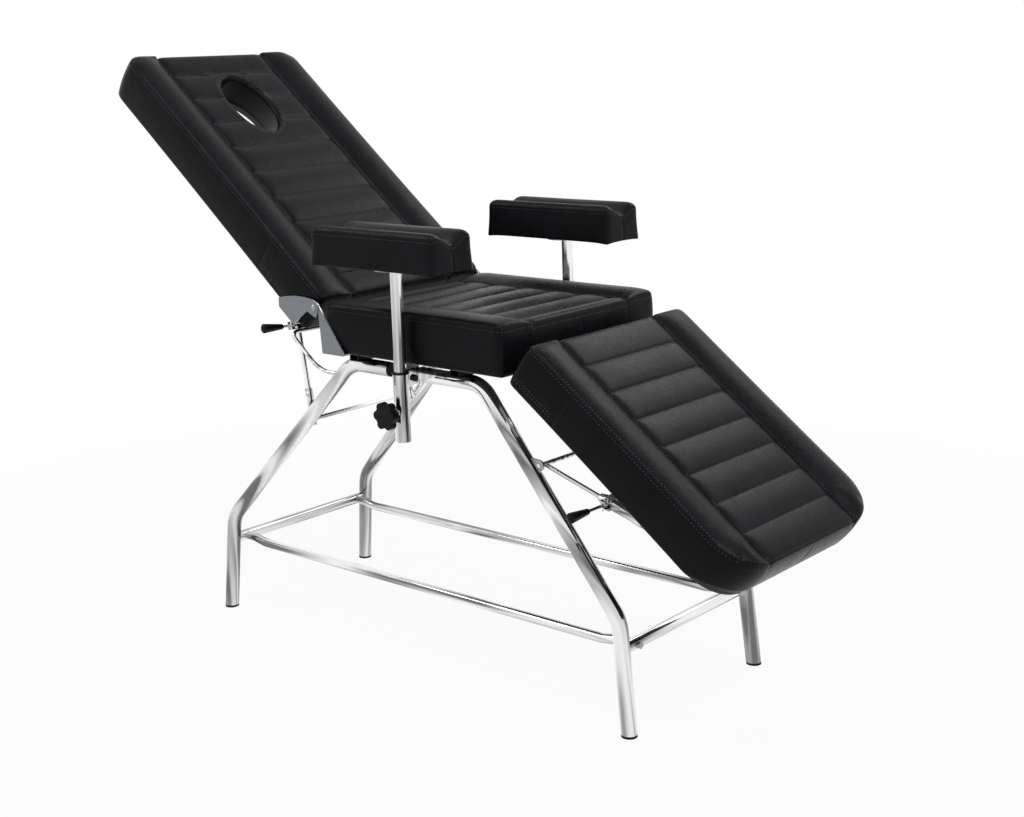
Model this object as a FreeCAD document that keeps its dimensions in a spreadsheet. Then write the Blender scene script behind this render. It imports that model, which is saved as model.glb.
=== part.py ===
import FreeCAD, Part

# A padded treatment chair: a bent-tube frame, a fixed seat, a back that reclines about
# two plate hinges, a leg rest on two butt hinges, a sliding stay under each of them and
# two armrests on round posts. Millimetres, X to the foot end, -Y the near side, Z up,
# the origin on the floor midway between the four feet.

import math
import os
import re

import Sketcher
from FreeCAD import Placement, Rotation, Vector

doc = FreeCAD.newDocument("treatment_chair")
sheet = doc.addObject("Spreadsheet::Sheet", "sizes")

# Driving sizes, in millimetres, degrees, counts and shares.
SIZES = [
    # frame of bent tube
    ("frame_tube", 32), ("foot_reach", 588), ("foot_spread", 220),
    ("knee_reach", 563), ("knee_spread", 213), ("knee_height", 226),
    ("shoulder_reach", 188), ("rail_spread", 162), ("rail_height", 626),
    ("knee_radius", 70), ("shoulder_radius", 70),
    ("head_rail_end", 68), ("foot_rail_end", 37),
    ("cap_rim", 5),
    ("plug_length", 4), ("plug_inset", 1),
    ("cross_tube", 25), ("cross_height", 170),
    ("stretcher_tube", 20), ("stretcher_spread", 178), ("stretcher_drop", 7),
    ("stretcher_lead", 34), ("stretcher_slope", 40), ("stretcher_radius", 60),
    # screws and bolts
    ("bolt_shank", 8), ("bolt_play", 0.1), ("bolt_flats", 13), ("bolt_head", 5.5),
    ("bolt_grip", 22), ("overrun", 1), ("running_gap", 0.05), ("face_gap", 0.3),
    # bearers and seat board
    ("bearer_size", 25), ("bearer_wall", 2), ("bearer_over", 38),
    ("head_bearer_in", 48), ("foot_bearer_in", 38),
    ("board_thick", 15), ("board_inset", 12), ("board_corner", 18),
    # pads
    ("pad_half", 250), ("pad_inner_half", 155.7), ("pad_draw", 3), ("pad_side_bulge", 3),
    ("pad_crown", 9), ("pad_seam_drop", 7), ("panel_drop", 2), ("channel_depth", 5),
    ("panel_edge", 18), ("pad_lip", 7), ("pad_end_run", 28), ("panel_seat", 30),
    ("pad_corner", 14), ("crown_fall_share", 0.75),
    ("seat_rear", -170), ("seat_length", 489), ("seat_thick", 102),
    ("seat_channel_first", 36), ("seat_channel_pitch", 82), ("seat_channels", 6),
    ("back_length", 797), ("back_under", 71), ("back_over", 24), ("back_corner", 40),
    ("back_channel_first", 68), ("back_channel_pitch", 83.5), ("back_channels", 9),
    ("hole_place", 617), ("hole_length", 190), ("hole_width", 112), ("hole_flare", 17),
    ("leg_length", 594), ("leg_pad_gap", 3), ("leg_thick", 95), ("leg_corner", 95),
    ("leg_channel_first", 77), ("leg_channel_pitch", 73.7), ("leg_channels", 7),
    ("leg_toe_radius", 28),
    # back hinge
    ("back_pivot_behind", 25), ("back_pivot_rise", 93), ("back_angle", 39.3),
    ("back_top_angle", 60), ("plate_thick", 3), ("plate_gap", 0.5), ("plate_tip", 13),
    ("seat_plate_back", 17), ("seat_plate_front", 80), ("seat_plate_neck", 11),
    ("seat_plate_step", 7), ("plate_cheek_share", 0.85), ("plate_rise_share", 0.52),
    ("plate_flange", 50), ("rivet_shank", 8), ("rivet_head", 13),
    ("rivet_dome", 2.5), ("back_plate_near", 24), ("back_plate_far", 92),
    ("back_plate_trim", 12), ("back_plate_bow", 260), ("plate_brow_reach", 10),
    ("plate_brow_rise", 13), ("plate_nose_reach", 8), ("plate_nose_rise", 15),
    ("plate_chin_reach", 17), ("plate_chin_drop", 13), ("plate_notch_reach", 11),
    ("plate_notch_drop", 20),
    # butt hinges of the leg rest
    ("leg_pivot_lead", 1), ("leg_pivot_drop", 7), ("leg_angle", 36.8),
    ("leg_low_angle", 50), ("leg_board_rise", 6), ("butt_place", 150), ("butt_width", 84),
    ("butt_leaf", 30), ("butt_thick", 2.5), ("butt_knuckle", 9), ("butt_pin", 4),
    ("butt_gap", 0.4), ("butt_offset", 6),
    # hoop that stops the back when flat
    ("hoop_rod", 9), ("hoop_foot_behind", 38), ("hoop_foot_out", 6), ("hoop_foot_drop", 27),
    ("hoop_elbow_behind", 94), ("hoop_elbow_out", 9), ("hoop_elbow_drop", 26),
    ("hoop_bar_behind", 148), ("hoop_bar_out", 39),
    ("hoop_elbow_radius", 60), ("hoop_corner_radius", 14),
    # telescopic stay under the back
    ("stay_foot_behind", 8), ("stay_foot_drop", 145), ("stay_inside", 26.5),
    ("stay_pin_run", 164.9), ("stay_pin_under", 92), ("stay_rod", 12), ("guide_wall", 2.5),
    ("guide_low", 9), ("guide_high", 70), ("guide_bar", 9), ("journal_sunk", 7.5),
    ("stay_rod_length", 330), ("stay_shaft", 9), ("stay_swing_share", 1.94),
    ("stay_stroke_share", 1.069), ("window_gap", 1.2), ("ear_thick", 3),
    ("ear_inside", 26), ("ear_margin", 9), ("ear_foot", 26),
    ("release_station", 214), ("release_length", 18), ("release_width", 24),
    ("release_pin", 5),
    # sliding stay under the leg rest
    ("prop_foot_clear", 21.521347522), ("prop_foot_drop", 139.7), ("prop_inside", 14.8),
    ("prop_pin_run", 382.6), ("prop_pin_under", 33), ("prop_rod", 9),
    ("prop_rod_length", 302), ("prop_housing", 24), ("prop_housing_back", 115),
    ("prop_housing_front", 13), ("prop_nose", 12), ("prop_nose_size", 16),
    ("prop_shaft", 10), ("prop_swing_share", 0.977), ("prop_stroke_share", 1.013),
    ("prop_ear_inside", 37), ("lug_thick", 4), ("lug_eye", 22), ("lug_root", 30),
    ("prop_lever_station", 103),
    # release levers
    ("lever_rod", 6), ("lever_eye", 12), ("lever_eye_height", 8), ("lever_reach", 37),
    ("lever_tilt", 4),
    ("prop_lever_reach", 60), ("grip_length", 58), ("grip_small", 12), ("grip_large", 21),
    ("grip_dome", 4), ("grip_cover", 12),
    # armrests
    ("post_clear", 18.7), ("post_tube", 25), ("post_bore", 20), ("post_length", 347),
    ("post_showing", 210), ("sleeve_tube", 32), ("sleeve_length", 139), ("sleeve_rise", 26),
    ("slit_width", 3), ("slit_length", 18), ("collar_size", 35), ("collar_height", 4),
    ("gusset_in", 10), ("gusset_bite", 0.6), ("gusset_thick", 4), ("gusset_rise", 24),
    ("gusset_drop_sleeve", 58), ("gusset_drop_rail", 33), ("gusset_bow", 120),
    ("tab_width", 40), ("tab_out", 53), ("tab_bolt_drop", 35), ("tab_thick", 4),
    ("tab_foot", 26), ("nut_size", 17), ("nut_length", 12), ("knob_drop", 78),
    ("arm_disc", 90), ("arm_disc_thick", 3), ("arm_spigot", 45),
    ("arm_length", 342), ("arm_width", 117), ("arm_height", 79), ("arm_offset", 14),
    ("arm_flare", 3), ("arm_rim", 11), ("arm_trough", 12), ("arm_end_draw", 3),
    ("arm_board_inset", 9), ("arm_board_thick", 9), ("arm_flare_share", 0.8),
    ("arm_waist_share", 0.3), ("arm_shoulder_share", 0.6), ("arm_hollow_share", 0.7),
    # star knobs
    ("knob_size", 58), ("knob_core", 47), ("knob_lobe", 19), ("knob_thick", 16),
    ("knob_lobes", 6), ("knob_boss", 20), ("knob_boss_length", 8), ("stud_size", 8),
]

# Places that follow from those sizes, each counted from the piece that carries it.
PLACES = [
    ("bearer_top", "rail_height + frame_tube / 2 + bearer_size"),
    ("bearer_half", "rail_spread + bearer_over"),
    ("head_bearer_place", "head_bearer_in - shoulder_reach"),
    ("foot_bearer_place", "shoulder_reach - foot_bearer_in"),
    ("leg_slope", "(knee_reach - shoulder_reach) / (rail_height - knee_height)"),
    ("leg_splay", "(knee_spread - rail_spread) / (rail_height - knee_height)"),
    ("back_pivot_place", "seat_rear - back_pivot_behind"),
    ("back_pivot_height", "bearer_top + back_pivot_rise"),
    ("leg_pivot_place", "seat_rear + seat_length + leg_pivot_lead"),
    ("leg_pivot_height", "bearer_top - leg_pivot_drop"),
    ("stay_foot_place", "-shoulder_reach - stay_foot_drop * leg_slope - stay_foot_behind"),
    ("stay_foot_height", "rail_height - stay_foot_drop"),
    ("stay_leg_spread", "rail_spread + stay_foot_drop * leg_splay"),
    ("stay_spread", "stay_leg_spread - stay_inside"),
    ("guide_journal", "stay_leg_spread + journal_sunk"),
    ("ear_spread", "stay_spread - ear_inside"),
    ("prop_foot_place", "shoulder_reach + prop_foot_drop * leg_slope + prop_foot_clear * sqrt(1 + leg_slope^2)"),
    ("prop_foot_height", "rail_height - prop_foot_drop"),
    ("prop_spread", "rail_spread + prop_foot_drop * leg_splay - prop_inside"),
    ("prop_ear_spread", "prop_spread - prop_ear_inside"),
    ("gusset_place", "foot_rail_end + gusset_in"),
    ("gusset_top", "rail_height + gusset_rise"),
    ("post_place", "gusset_place + gusset_thick + sleeve_tube / 2 - gusset_bite"),
    ("post_spread", "pad_half + post_clear"),
    ("sleeve_high", "rail_height + sleeve_rise"),
    ("sleeve_low", "sleeve_high - sleeve_length"),
    ("post_high", "sleeve_high + post_showing"),
    ("post_low", "post_high - post_length"),
    ("tab_place", "rail_spread + tab_out"),
    ("tab_bolt_height", "bearer_top - tab_bolt_drop"),
    ("knob_height", "sleeve_high - knob_drop"),
]

rows = [(alias, str(number)) for alias, number in SIZES]
rows += [(alias, "=" + rule) for alias, rule in PLACES]
for row, (alias, content) in enumerate(rows, start=1):
    sheet.set(f"A{row}", alias)
    sheet.set(f"B{row}", content)
    sheet.setAlias(f"B{row}", alias)
doc.recompute()

ALIASES = {alias for alias, content in rows}
NODES = []


def bound(text):
    """An expression over the sheet's aliases, as an object outside the sheet needs it."""
    return re.sub(r"[a-z_]+", lambda word: "sizes." + word[0] if word[0] in ALIASES else word[0], text)


def size(text):
    """The present value of an expression over the sheet's aliases."""
    return float(sheet.evalExpression(text))


def node(thing, label):
    """Keep an object as a named sub-part."""
    thing.Label = label
    NODES.append(thing)
    return thing


def solid(label, shape, placement=None):
    """A sub-part whose shape is made with Part's own functions."""
    thing = doc.addObject("Part::Feature", label)
    thing.Shape = shape
    if placement:
        thing.Placement = placement
    return node(thing, label)


def new_body(label, placement=None):
    """An empty PartDesign body kept as a named sub-part."""
    body = doc.addObject("PartDesign::Body", label)
    if placement:
        body.Placement = placement
    return node(body, label)


def new_sketch(body, plane, offset="0"):
    """A sketch on one of the body's own origin planes, moved along its normal."""
    sketch = body.newObject("Sketcher::SketchObject", body.Name + "_sketch")
    origin_plane = [f for f in body.Origin.OriginFeatures if f.Role == plane + "_Plane"][0]
    sketch.AttachmentSupport = (origin_plane, [""])
    sketch.MapMode = "FlatFace"
    sketch.setExpression("AttachmentOffset.Base.z", bound(offset))
    return sketch


def pin_point(sketch, geometry, end, across, up):
    """Hold one end of an edge at a place given by two expressions."""
    for kind, axis, text in (("DistanceX", -2, across), ("DistanceY", -1, up)):
        if abs(size(text)) < 1e-7:
            sketch.addConstraint(Sketcher.Constraint("PointOnObject", geometry, end, axis))
            continue
        index = sketch.addConstraint(Sketcher.Constraint(kind, -1, 1, geometry, end, size(text)))
        sketch.setExpression(f"Constraints[{index}]", bound(text))


def draw_outline(sketch, corners):
    """Closed outline of (across, up) corners; a third item is the radius of the edge that
    ends there, positive where it bows to the left of its run."""
    places = [Vector(size(corner[0]), size(corner[1]), 0) for corner in corners]
    for index, corner in enumerate(corners):
        start, stop = places[index - 1], places[index]
        if len(corner) == 2:
            edge = sketch.addGeometry(Part.LineSegment(start, stop))
            pin_point(sketch, edge, 2, corner[0], corner[1])
            continue
        radius = size(corner[2])
        run = stop - start
        left = Vector(-run.y, run.x, 0).normalize() * math.copysign(1, radius)
        rise = abs(radius) - math.sqrt(radius ** 2 - (run.Length / 2) ** 2)
        edge = sketch.addGeometry(Part.Arc(start, (start + stop) / 2 + left * rise, stop))
        end = 2 if sketch.getPoint(edge, 2).distanceToPoint(stop) < 1e-4 else 1
        pin_point(sketch, edge, end, corner[0], corner[1])
        index_radius = sketch.addConstraint(Sketcher.Constraint("Radius", edge, abs(radius)))
        sketch.setExpression(f"Constraints[{index_radius}]", bound(f"abs({corner[2]})"))
    for index in range(len(corners)):
        ahead = (index + 1) % len(corners)
        tail = 2 if sketch.getPoint(index, 2).distanceToPoint(places[index]) < 1e-4 else 1
        head = 1 if sketch.getPoint(ahead, 1).distanceToPoint(places[index]) < 1e-4 else 2
        sketch.addConstraint(Sketcher.Constraint("Coincident", index, tail, ahead, head))


def draw_circle(sketch, across, up, diameter):
    """A circle at a place and of a size given by expressions."""
    centre = Vector(size(across), size(up), 0)
    circle = sketch.addGeometry(Part.Circle(centre, Vector(0, 0, 1), size(diameter) / 2))
    pin_point(sketch, circle, 3, across, up)
    index = sketch.addConstraint(Sketcher.Constraint("Radius", circle, size(diameter) / 2))
    sketch.setExpression(f"Constraints[{index}]", bound(f"({diameter}) / 2"))


def feature(body, kind, sketch, length):
    """A Pad, or a Pocket that must take material away, of a bound length."""
    before = body.Shape.Volume if kind == "Pocket" else 0
    thing = body.newObject("PartDesign::" + kind, body.Name + "_" + kind.lower())
    thing.Profile = sketch
    thing.setExpression("Length", bound(length))
    if kind == "Pocket":
        thing.Midplane = True
    doc.recompute()
    if kind == "Pocket" and body.Shape.Volume >= before:
        raise RuntimeError(f"{body.Label}: a pocket cuts nothing")
    return thing


def rod_between(start, stop, diameter):
    """A round bar from one point to another."""
    run = stop - start
    return Part.makeCylinder(diameter / 2, run.Length, start, run)


def tube_along(points, radii, diameter):
    """A round bar along straight runs joined by tangent arcs at the inner points."""
    edges = []
    here = points[0]
    for before, corner, after, radius in zip(points, points[1:], points[2:], radii):
        arriving = (corner - before).normalize()
        leaving = (after - corner).normalize()
        half_turn = arriving.getAngle(leaving) / 2
        start = corner - arriving * (radius * math.tan(half_turn))
        stop = corner + leaving * (radius * math.tan(half_turn))
        inward = (leaving - arriving).normalize()
        middle = corner + inward * (radius / math.cos(half_turn) - radius)
        edges.append(Part.LineSegment(here, start).toShape())
        edges.append(Part.Arc(start, middle, stop).toShape())
        here = stop
    edges.append(Part.LineSegment(here, points[-1]).toShape())
    ring = Part.Wire(Part.makeCircle(diameter / 2, points[0], points[1] - points[0]))
    return Part.Wire(edges).makePipeShell([ring], True, False)


def hex_bolt(seat, direction, shank, grip):
    """A hexagon head standing on a seat, its shank running back the other way."""
    flats = size("bolt_flats")
    corner_radius = flats / 2 / math.cos(math.pi / 6)
    corners = [Vector(corner_radius, 0, 0)]
    turn = Rotation(Vector(0, 0, 1), 60)
    for count in range(6):
        corners.append(turn.multVec(corners[-1]))
    head = Part.Face(Part.makePolygon(corners)).extrude(Vector(0, 0, size("bolt_head")))
    stem = Part.makeCylinder(shank / 2, grip, Vector(0, 0, -grip))
    bolt = head.fuse(stem).removeSplitter()
    bolt.Placement = Placement(seat, Rotation(Vector(0, 0, 1), direction))
    return bolt


def bolt_hole(seat, direction, shank, grip):
    """The clear hole for such a bolt."""
    over = size("overrun")
    start = seat + Vector(direction).normalize() * over
    stop = seat - Vector(direction).normalize() * (grip + over)
    return rod_between(start, stop, shank + 2 * size("bolt_play"))


QUARTER = 1 - math.sqrt(0.5)  # how far the middle of a quarter arc stands in from its corner
SIDES = (("near", -1), ("far", 1))
ENDS = (("head", -1), ("foot", 1))
SHANK = size("bolt_shank")

# Legs: each is one tube, bent at the knee and at the shoulder, with a level rail on top.


def leg_points(end, side):
    """Foot, knee, shoulder and rail end of one leg's centreline."""
    rail_end = -size("head_rail_end") if end < 0 else size("foot_rail_end")
    foot = Vector(end * size("foot_reach"), side * size("foot_spread"), 0)
    knee = Vector(end * size("knee_reach"), side * size("knee_spread"), size("knee_height"))
    shoulder = Vector(end * size("shoulder_reach"), side * size("rail_spread"), size("rail_height"))
    return foot, knee, shoulder, Vector(rail_end, side * size("rail_spread"), size("rail_height"))


def point_at_height(low, high, height):
    """The point of a straight run at a height."""
    return low + (high - low) * ((height - low.z) / (high.z - low.z))


FRAME = size("frame_tube")
cross_middles = {}
legs = {}
caps = []
plugs = []
for end_name, end in ENDS:
    for side_name, side in SIDES:
        foot, knee, shoulder, rail_end = leg_points(end, side)
        below = point_at_height(foot, knee, -size("cap_rim"))
        bent = tube_along([below, knee, shoulder, rail_end],
                          [size("knee_radius"), size("shoulder_radius")], FRAME)
        slab = Part.makeBox(4 * FRAME, 4 * FRAME, 3 * size("cap_rim"),
                            Vector(foot.x - 2 * FRAME, foot.y - 2 * FRAME, -2 * size("cap_rim")))
        legs[end_name, side_name] = bent.cut(slab)
        end_piece = rod_between(below, point_at_height(foot, knee, 2 * size("cap_rim")), FRAME)
        band = Part.makeBox(4 * FRAME, 4 * FRAME, size("cap_rim"),
                            Vector(foot.x - 2 * FRAME, foot.y - 2 * FRAME, 0))
        caps.append(end_piece.common(band))
        inward = Vector(-end, 0, 0)
        plugs.append(rod_between(rail_end, rail_end + inward * size("plug_length"),
                                 FRAME - 2 * size("plug_inset")))
        cross_middles[end_name] = point_at_height(foot, knee, size("cross_height"))

# Cross tubes between the two legs of each end, coped to them.
cross_reach = abs(cross_middles["head"].x)
cross_half = abs(cross_middles["head"].y)
CROSS_Z = size("cross_height")
cross_tubes = {}
for end_name, end in ENDS:
    bar = rod_between(Vector(end * cross_reach, -cross_half, CROSS_Z),
                      Vector(end * cross_reach, cross_half, CROSS_Z), size("cross_tube"))
    cross_tubes[end_name] = bar.cut(legs[end_name, "near"]).cut(legs[end_name, "far"])

# Stretchers: long rods whose ends rise to the cross tubes, each end held by a bolt that
# passes through the cross tube.
stretcher_bolts = []
stretchers = {}
lead = cross_reach - size("stretcher_lead")
drop = size("stretcher_drop")
for side_name, side in SIDES:
    y = side * size("stretcher_spread")
    low = CROSS_Z - drop
    inner = lead - size("stretcher_slope")
    route = [Vector(-cross_reach, y, CROSS_Z), Vector(-lead, y, CROSS_Z), Vector(-inner, y, low),
             Vector(inner, y, low), Vector(lead, y, CROSS_Z), Vector(cross_reach, y, CROSS_Z)]
    rod = tube_along(route, [size("stretcher_radius")] * 4, size("stretcher_tube"))
    for end_name, end in ENDS:
        rod = rod.cut(rod_between(Vector(end * cross_reach, -cross_half, CROSS_Z),
                                  Vector(end * cross_reach, cross_half, CROSS_Z),
                                  size("cross_tube")))
        seat = Vector(end * (cross_reach + size("cross_tube") / 2), y, CROSS_Z)
        grip = size("cross_tube") + size("bolt_grip")
        stretcher_bolts.append(hex_bolt(seat, Vector(end, 0, 0), SHANK, grip))
        hole = bolt_hole(seat, Vector(end, 0, 0), SHANK, grip)
        rod = rod.cut(hole)
        cross_tubes[end_name] = cross_tubes[end_name].cut(hole)
    stretchers[side_name] = rod

# Bearers: two square tubes across the rails, each bolted down from inside.
bearer_top = size("bearer_top")
bearer_bolts = []
for end_name, end in ENDS:
    place = end_name + "_bearer_place"
    outer = doc.addObject("Part::Box", end_name + "_bearer_outer")
    inner = doc.addObject("Part::Box", end_name + "_bearer_inner")
    for box, wall in ((outer, "0"), (inner, "bearer_wall")):
        over = "0" if wall == "0" else "overrun"
        box.setExpression("Length", bound(f"bearer_size - 2 * {wall}"))
        box.setExpression("Width", bound(f"2 * bearer_half + 2 * {over}"))
        box.setExpression("Height", bound(f"bearer_size - 2 * {wall}"))
        box.setExpression("Placement.Base.x", bound(f"{place} - bearer_size / 2 + {wall}"))
        box.setExpression("Placement.Base.y", bound(f"-bearer_half - {over}"))
        box.setExpression("Placement.Base.z", bound(f"rail_height + frame_tube / 2 + {wall}"))
    tube = doc.addObject("Part::Cut", end_name + "_bearer_tube")
    tube.Base, tube.Tool = outer, inner
    holes = []
    for side_name, side in SIDES:
        seat = Vector(size(place), side * size("rail_spread"),
                      size("rail_height + frame_tube / 2 + bearer_wall"))
        grip = size("bearer_wall + bolt_grip")
        bearer_bolts.append(hex_bolt(seat, Vector(0, 0, 1), SHANK, grip))
        hole = bolt_hole(seat, Vector(0, 0, 1), SHANK, grip)
        legs[end_name, side_name] = legs[end_name, side_name].cut(hole)
        drill = doc.addObject("Part::Cylinder", f"{end_name}_{side_name}_bearer_drill")
        drill.setExpression("Radius", bound("bolt_shank / 2 + bolt_play"))
        drill.setExpression("Height", bound("3 * bearer_wall"))
        drill.setExpression("Placement.Base.x", bound(place))
        drill.setExpression("Placement.Base.y", bound(f"{side} * rail_spread"))
        drill.setExpression("Placement.Base.z", bound("rail_height + frame_tube / 2 - bearer_wall"))
        holes.append(drill)
    drills = doc.addObject("Part::MultiFuse", end_name + "_bearer_drills")
    drills.Shapes = holes
    bearer = doc.addObject("Part::Cut", end_name + "_bearer_drilled")
    bearer.Base, bearer.Tool = tube, drills
    node(bearer, end_name + "_bearer")

# Pads: a base with two crowned side bolsters, a lower ribbed panel between them, side
# faces that pull in between the corners, and rounded ends. Local frame: X from the end
# nearest its hinge, Y across, Z up from the underside.


def arc_through(start, middle, stop):
    """One circular edge through three points."""
    return Part.Arc(start, middle, stop).toShape()


def line(start, stop):
    """One straight edge."""
    return Part.LineSegment(start, stop).toShape()


def mirrored_outline(half):
    """Close a run of edges that starts and ends on Y = 0 with its mirror image."""
    flip = FreeCAD.Matrix()
    flip.scale(1, -1, 1)
    other = [edge.transformGeometry(flip) for edge in half]
    return Part.Wire(Part.__sortEdges__(half + other))


def pad_body(length, thick):
    """The base and its two bolsters, drawn across the pad and run along it."""
    half, inner = size("pad_half"), size("pad_inner_half")
    bulge, lip = size("pad_side_bulge"), size("pad_lip")
    floor = thick - size("panel_seat")
    seam = Vector(0, half - bulge, thick)
    valley = Vector(0, inner, thick - size("pad_seam_drop"))
    crest = Vector(0, (half + inner) / 2, thick + size("pad_crown"))
    foot_out = Vector(0, half - bulge, lip)
    foot_in = Vector(0, half - bulge - lip, 0)
    soft = lip * QUARTER
    edges = [line(Vector(0, 0, 0), foot_in),
             arc_through(foot_in, Vector(0, half - bulge - soft, soft), foot_out),
             arc_through(foot_out, Vector(0, half, (lip + thick) / 2), seam),
             arc_through(seam, crest, valley),
             line(valley, Vector(0, inner, floor)),
             line(Vector(0, inner, floor), Vector(0, 0, floor))]
    return Part.Face(mirrored_outline(edges)).extrude(Vector(length, 0, 0))


def ribbed_panel(length, thick, channels):
    """The middle panel: ribs between sewn channels, rounded down to the inner seams."""
    inner, edge = size("pad_inner_half"), size("panel_edge")
    floor, top = thick - size("panel_seat"), thick - size("panel_drop")
    valley = top - size("channel_depth")
    marks = [0] + channels + [length]
    edges = [line(Vector(length, 0, floor), Vector(0, 0, floor)),
             line(Vector(0, 0, floor), Vector(0, 0, valley))]
    for start, stop in zip(marks, marks[1:]):
        edges.append(arc_through(Vector(start, 0, valley), Vector((start + stop) / 2, 0, top),
                                 Vector(stop, 0, valley)))
    edges.append(line(Vector(length, 0, valley), Vector(length, 0, floor)))
    ribs = Part.Face(Part.Wire(edges)).extrude(Vector(0, 2 * inner, 0))
    ribs.translate(Vector(0, -inner, 0))
    low = thick - size("pad_seam_drop + channel_depth")
    slack = edge * QUARTER
    rise = top - low
    half = [line(Vector(0, 0, floor), Vector(0, inner, floor)),
            line(Vector(0, inner, floor), Vector(0, inner, low)),
            arc_through(Vector(0, inner, low),
                        Vector(0, inner - slack, top - rise * QUARTER),
                        Vector(0, inner - edge, top)),
            line(Vector(0, inner - edge, top), Vector(0, 0, top))]
    crown = Part.Face(mirrored_outline(half)).extrude(Vector(length, 0, 0))
    return ribs.common(crown)


def pad_plan(length, near_corner, far_corner, height):
    """A block of the pad's plan, its long sides drawn in between rounded corners."""
    half, draw = size("pad_half"), size("pad_draw")
    near_soft = near_corner * QUARTER
    far_soft = far_corner * QUARTER
    half_edges = [line(Vector(0, 0, 0), Vector(0, half - near_corner, 0)),
                  arc_through(Vector(0, half - near_corner, 0),
                              Vector(near_soft, half - near_soft, 0),
                              Vector(near_corner, half, 0)),
                  arc_through(Vector(near_corner, half, 0),
                              Vector((length + near_corner - far_corner) / 2, half - draw, 0),
                              Vector(length - far_corner, half, 0)),
                  arc_through(Vector(length - far_corner, half, 0),
                              Vector(length - far_soft, half - far_soft, 0),
                              Vector(length, half - far_corner, 0)),
                  line(Vector(length, half - far_corner, 0), Vector(length, 0, 0))]
    return Part.Face(mirrored_outline(half_edges)).extrude(Vector(0, 0, height))


def pad_side_view(length, thick, toe_radius):
    """A block of the pad's side view: bowed ends, rounded lower edges, falling upper ends."""
    half, bulge, lip = size("pad_half"), size("pad_side_bulge"), size("pad_lip")
    run, top = size("pad_end_run"), thick + size("pad_crown")
    heel = lip * QUARTER
    toe = toe_radius * QUARTER
    inside, fall = bulge / 2, size("crown_fall_share")
    edges = [line(Vector(lip, 0, 0), Vector(length - toe_radius, 0, 0)),
             arc_through(Vector(length - toe_radius, 0, 0), Vector(length - toe, 0, toe),
                         Vector(length, 0, toe_radius)),
             line(Vector(length, 0, toe_radius), Vector(length - inside, 0, thick)),
             arc_through(Vector(length - inside, 0, thick),
                         Vector(length - run / 2, 0, thick + (top - thick) * fall),
                         Vector(length - run, 0, top)),
             line(Vector(length - run, 0, top), Vector(run, 0, top)),
             arc_through(Vector(run, 0, top), Vector(run / 2, 0, thick + (top - thick) * fall),
                         Vector(inside, 0, thick)),
             line(Vector(inside, 0, thick), Vector(0, 0, lip)),
             arc_through(Vector(0, 0, lip), Vector(heel, 0, heel), Vector(lip, 0, 0))]
    block = Part.Face(Part.Wire(edges)).extrude(Vector(0, 2 * half, 0))
    block.translate(Vector(0, -half, 0))
    return block


def board_block(length, near_corner, far_corner, grow=0):
    """The plywood board under a pad, or with grow the recess that takes it."""
    inset = size("board_inset") - grow
    half = size("pad_half") - inset
    near = max(near_corner - inset, size("board_corner"))
    far = max(far_corner - inset, size("board_corner"))
    near_soft, far_soft = near * QUARTER, far * QUARTER
    low, high = inset, length - inset
    half_edges = [line(Vector(low, 0, 0), Vector(low, half - near, 0)),
                  arc_through(Vector(low, half - near, 0),
                              Vector(low + near_soft, half - near_soft, 0),
                              Vector(low + near, half, 0)),
                  line(Vector(low + near, half, 0), Vector(high - far, half, 0)),
                  arc_through(Vector(high - far, half, 0),
                              Vector(high - far_soft, half - far_soft, 0),
                              Vector(high, half - far, 0)),
                  line(Vector(high, half - far, 0), Vector(high, 0, 0))]
    return Part.Face(mirrored_outline(half_edges)).extrude(Vector(0, 0, size("board_thick")))


def make_pad(length, thick, channels, near_corner, far_corner, toe_radius):
    """One whole pad with the recess for its board."""
    shape = pad_body(length, thick).fuse(ribbed_panel(length, thick, channels))
    shape = shape.common(pad_plan(length, near_corner, far_corner, thick + size("pad_crown")))
    shape = shape.common(pad_side_view(length, thick, toe_radius))
    shape = shape.cut(board_block(length, near_corner, far_corner, size("face_gap")))
    return shape.Solids[0]


def oval_at(height, flare):
    """The rim of the face hole at a height over the board, wider by flare all round."""
    centre = Vector(size("hole_place"), 0, height)
    return Part.Wire(Part.Ellipse(centre, size("hole_length") / 2 + flare,
                                  size("hole_width") / 2 + flare).toShape())


CORNER = size("pad_corner")
seat_channels = [size("seat_channel_first") + size("seat_channel_pitch") * count
                 for count in range(int(size("seat_channels")))]
seat_place = Placement(Vector(size("seat_rear"), 0, bearer_top), Rotation())
solid("seat_pad", make_pad(size("seat_length"), size("seat_thick"), seat_channels, CORNER, CORNER,
                           size("pad_lip")), seat_place)
seat_board = board_block(size("seat_length"), CORNER, CORNER)

back_pivot = Vector(size("back_pivot_place"), 0, size("back_pivot_height"))
back_turn = Rotation(Vector(0, 1, 0), size("back_angle")) * Rotation(Vector(0, 0, 1), 180)
back_frame = Placement(back_pivot, back_turn)
back_place = back_frame * Placement(Vector(0, 0, -size("back_under")), Rotation())
back_length = size("back_length")
back_channels = [back_length - size("back_channel_first") - size("back_channel_pitch") * count
                 for count in range(int(size("back_channels")))][::-1]
back_pad = make_pad(back_length, size("back_under + back_over"), back_channels, CORNER,
                    size("back_corner"), size("pad_lip"))
# the hole for the face widens downwards through the foam and goes straight through the board
slope = size("hole_flare") / size("back_under + back_over - panel_drop - board_thick")
beyond = size("panel_drop + pad_crown + overrun")
throat = Part.makeLoft([oval_at(size("board_thick - overrun"),
                                size("hole_flare") + slope * size("overrun")),
                        oval_at(size("back_under + back_over - panel_drop") + beyond,
                                -slope * beyond)], True, False)
straight = Part.Face(oval_at(-size("overrun"), size("hole_flare")))
straight = straight.extrude(Vector(0, 0, size("board_thick + 2 * overrun")))
back_pad = back_pad.cut(throat)
solid("back_pad", back_pad, back_place)
solid("back_board", board_block(back_length, CORNER, size("back_corner")).cut(straight), back_place)

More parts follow.
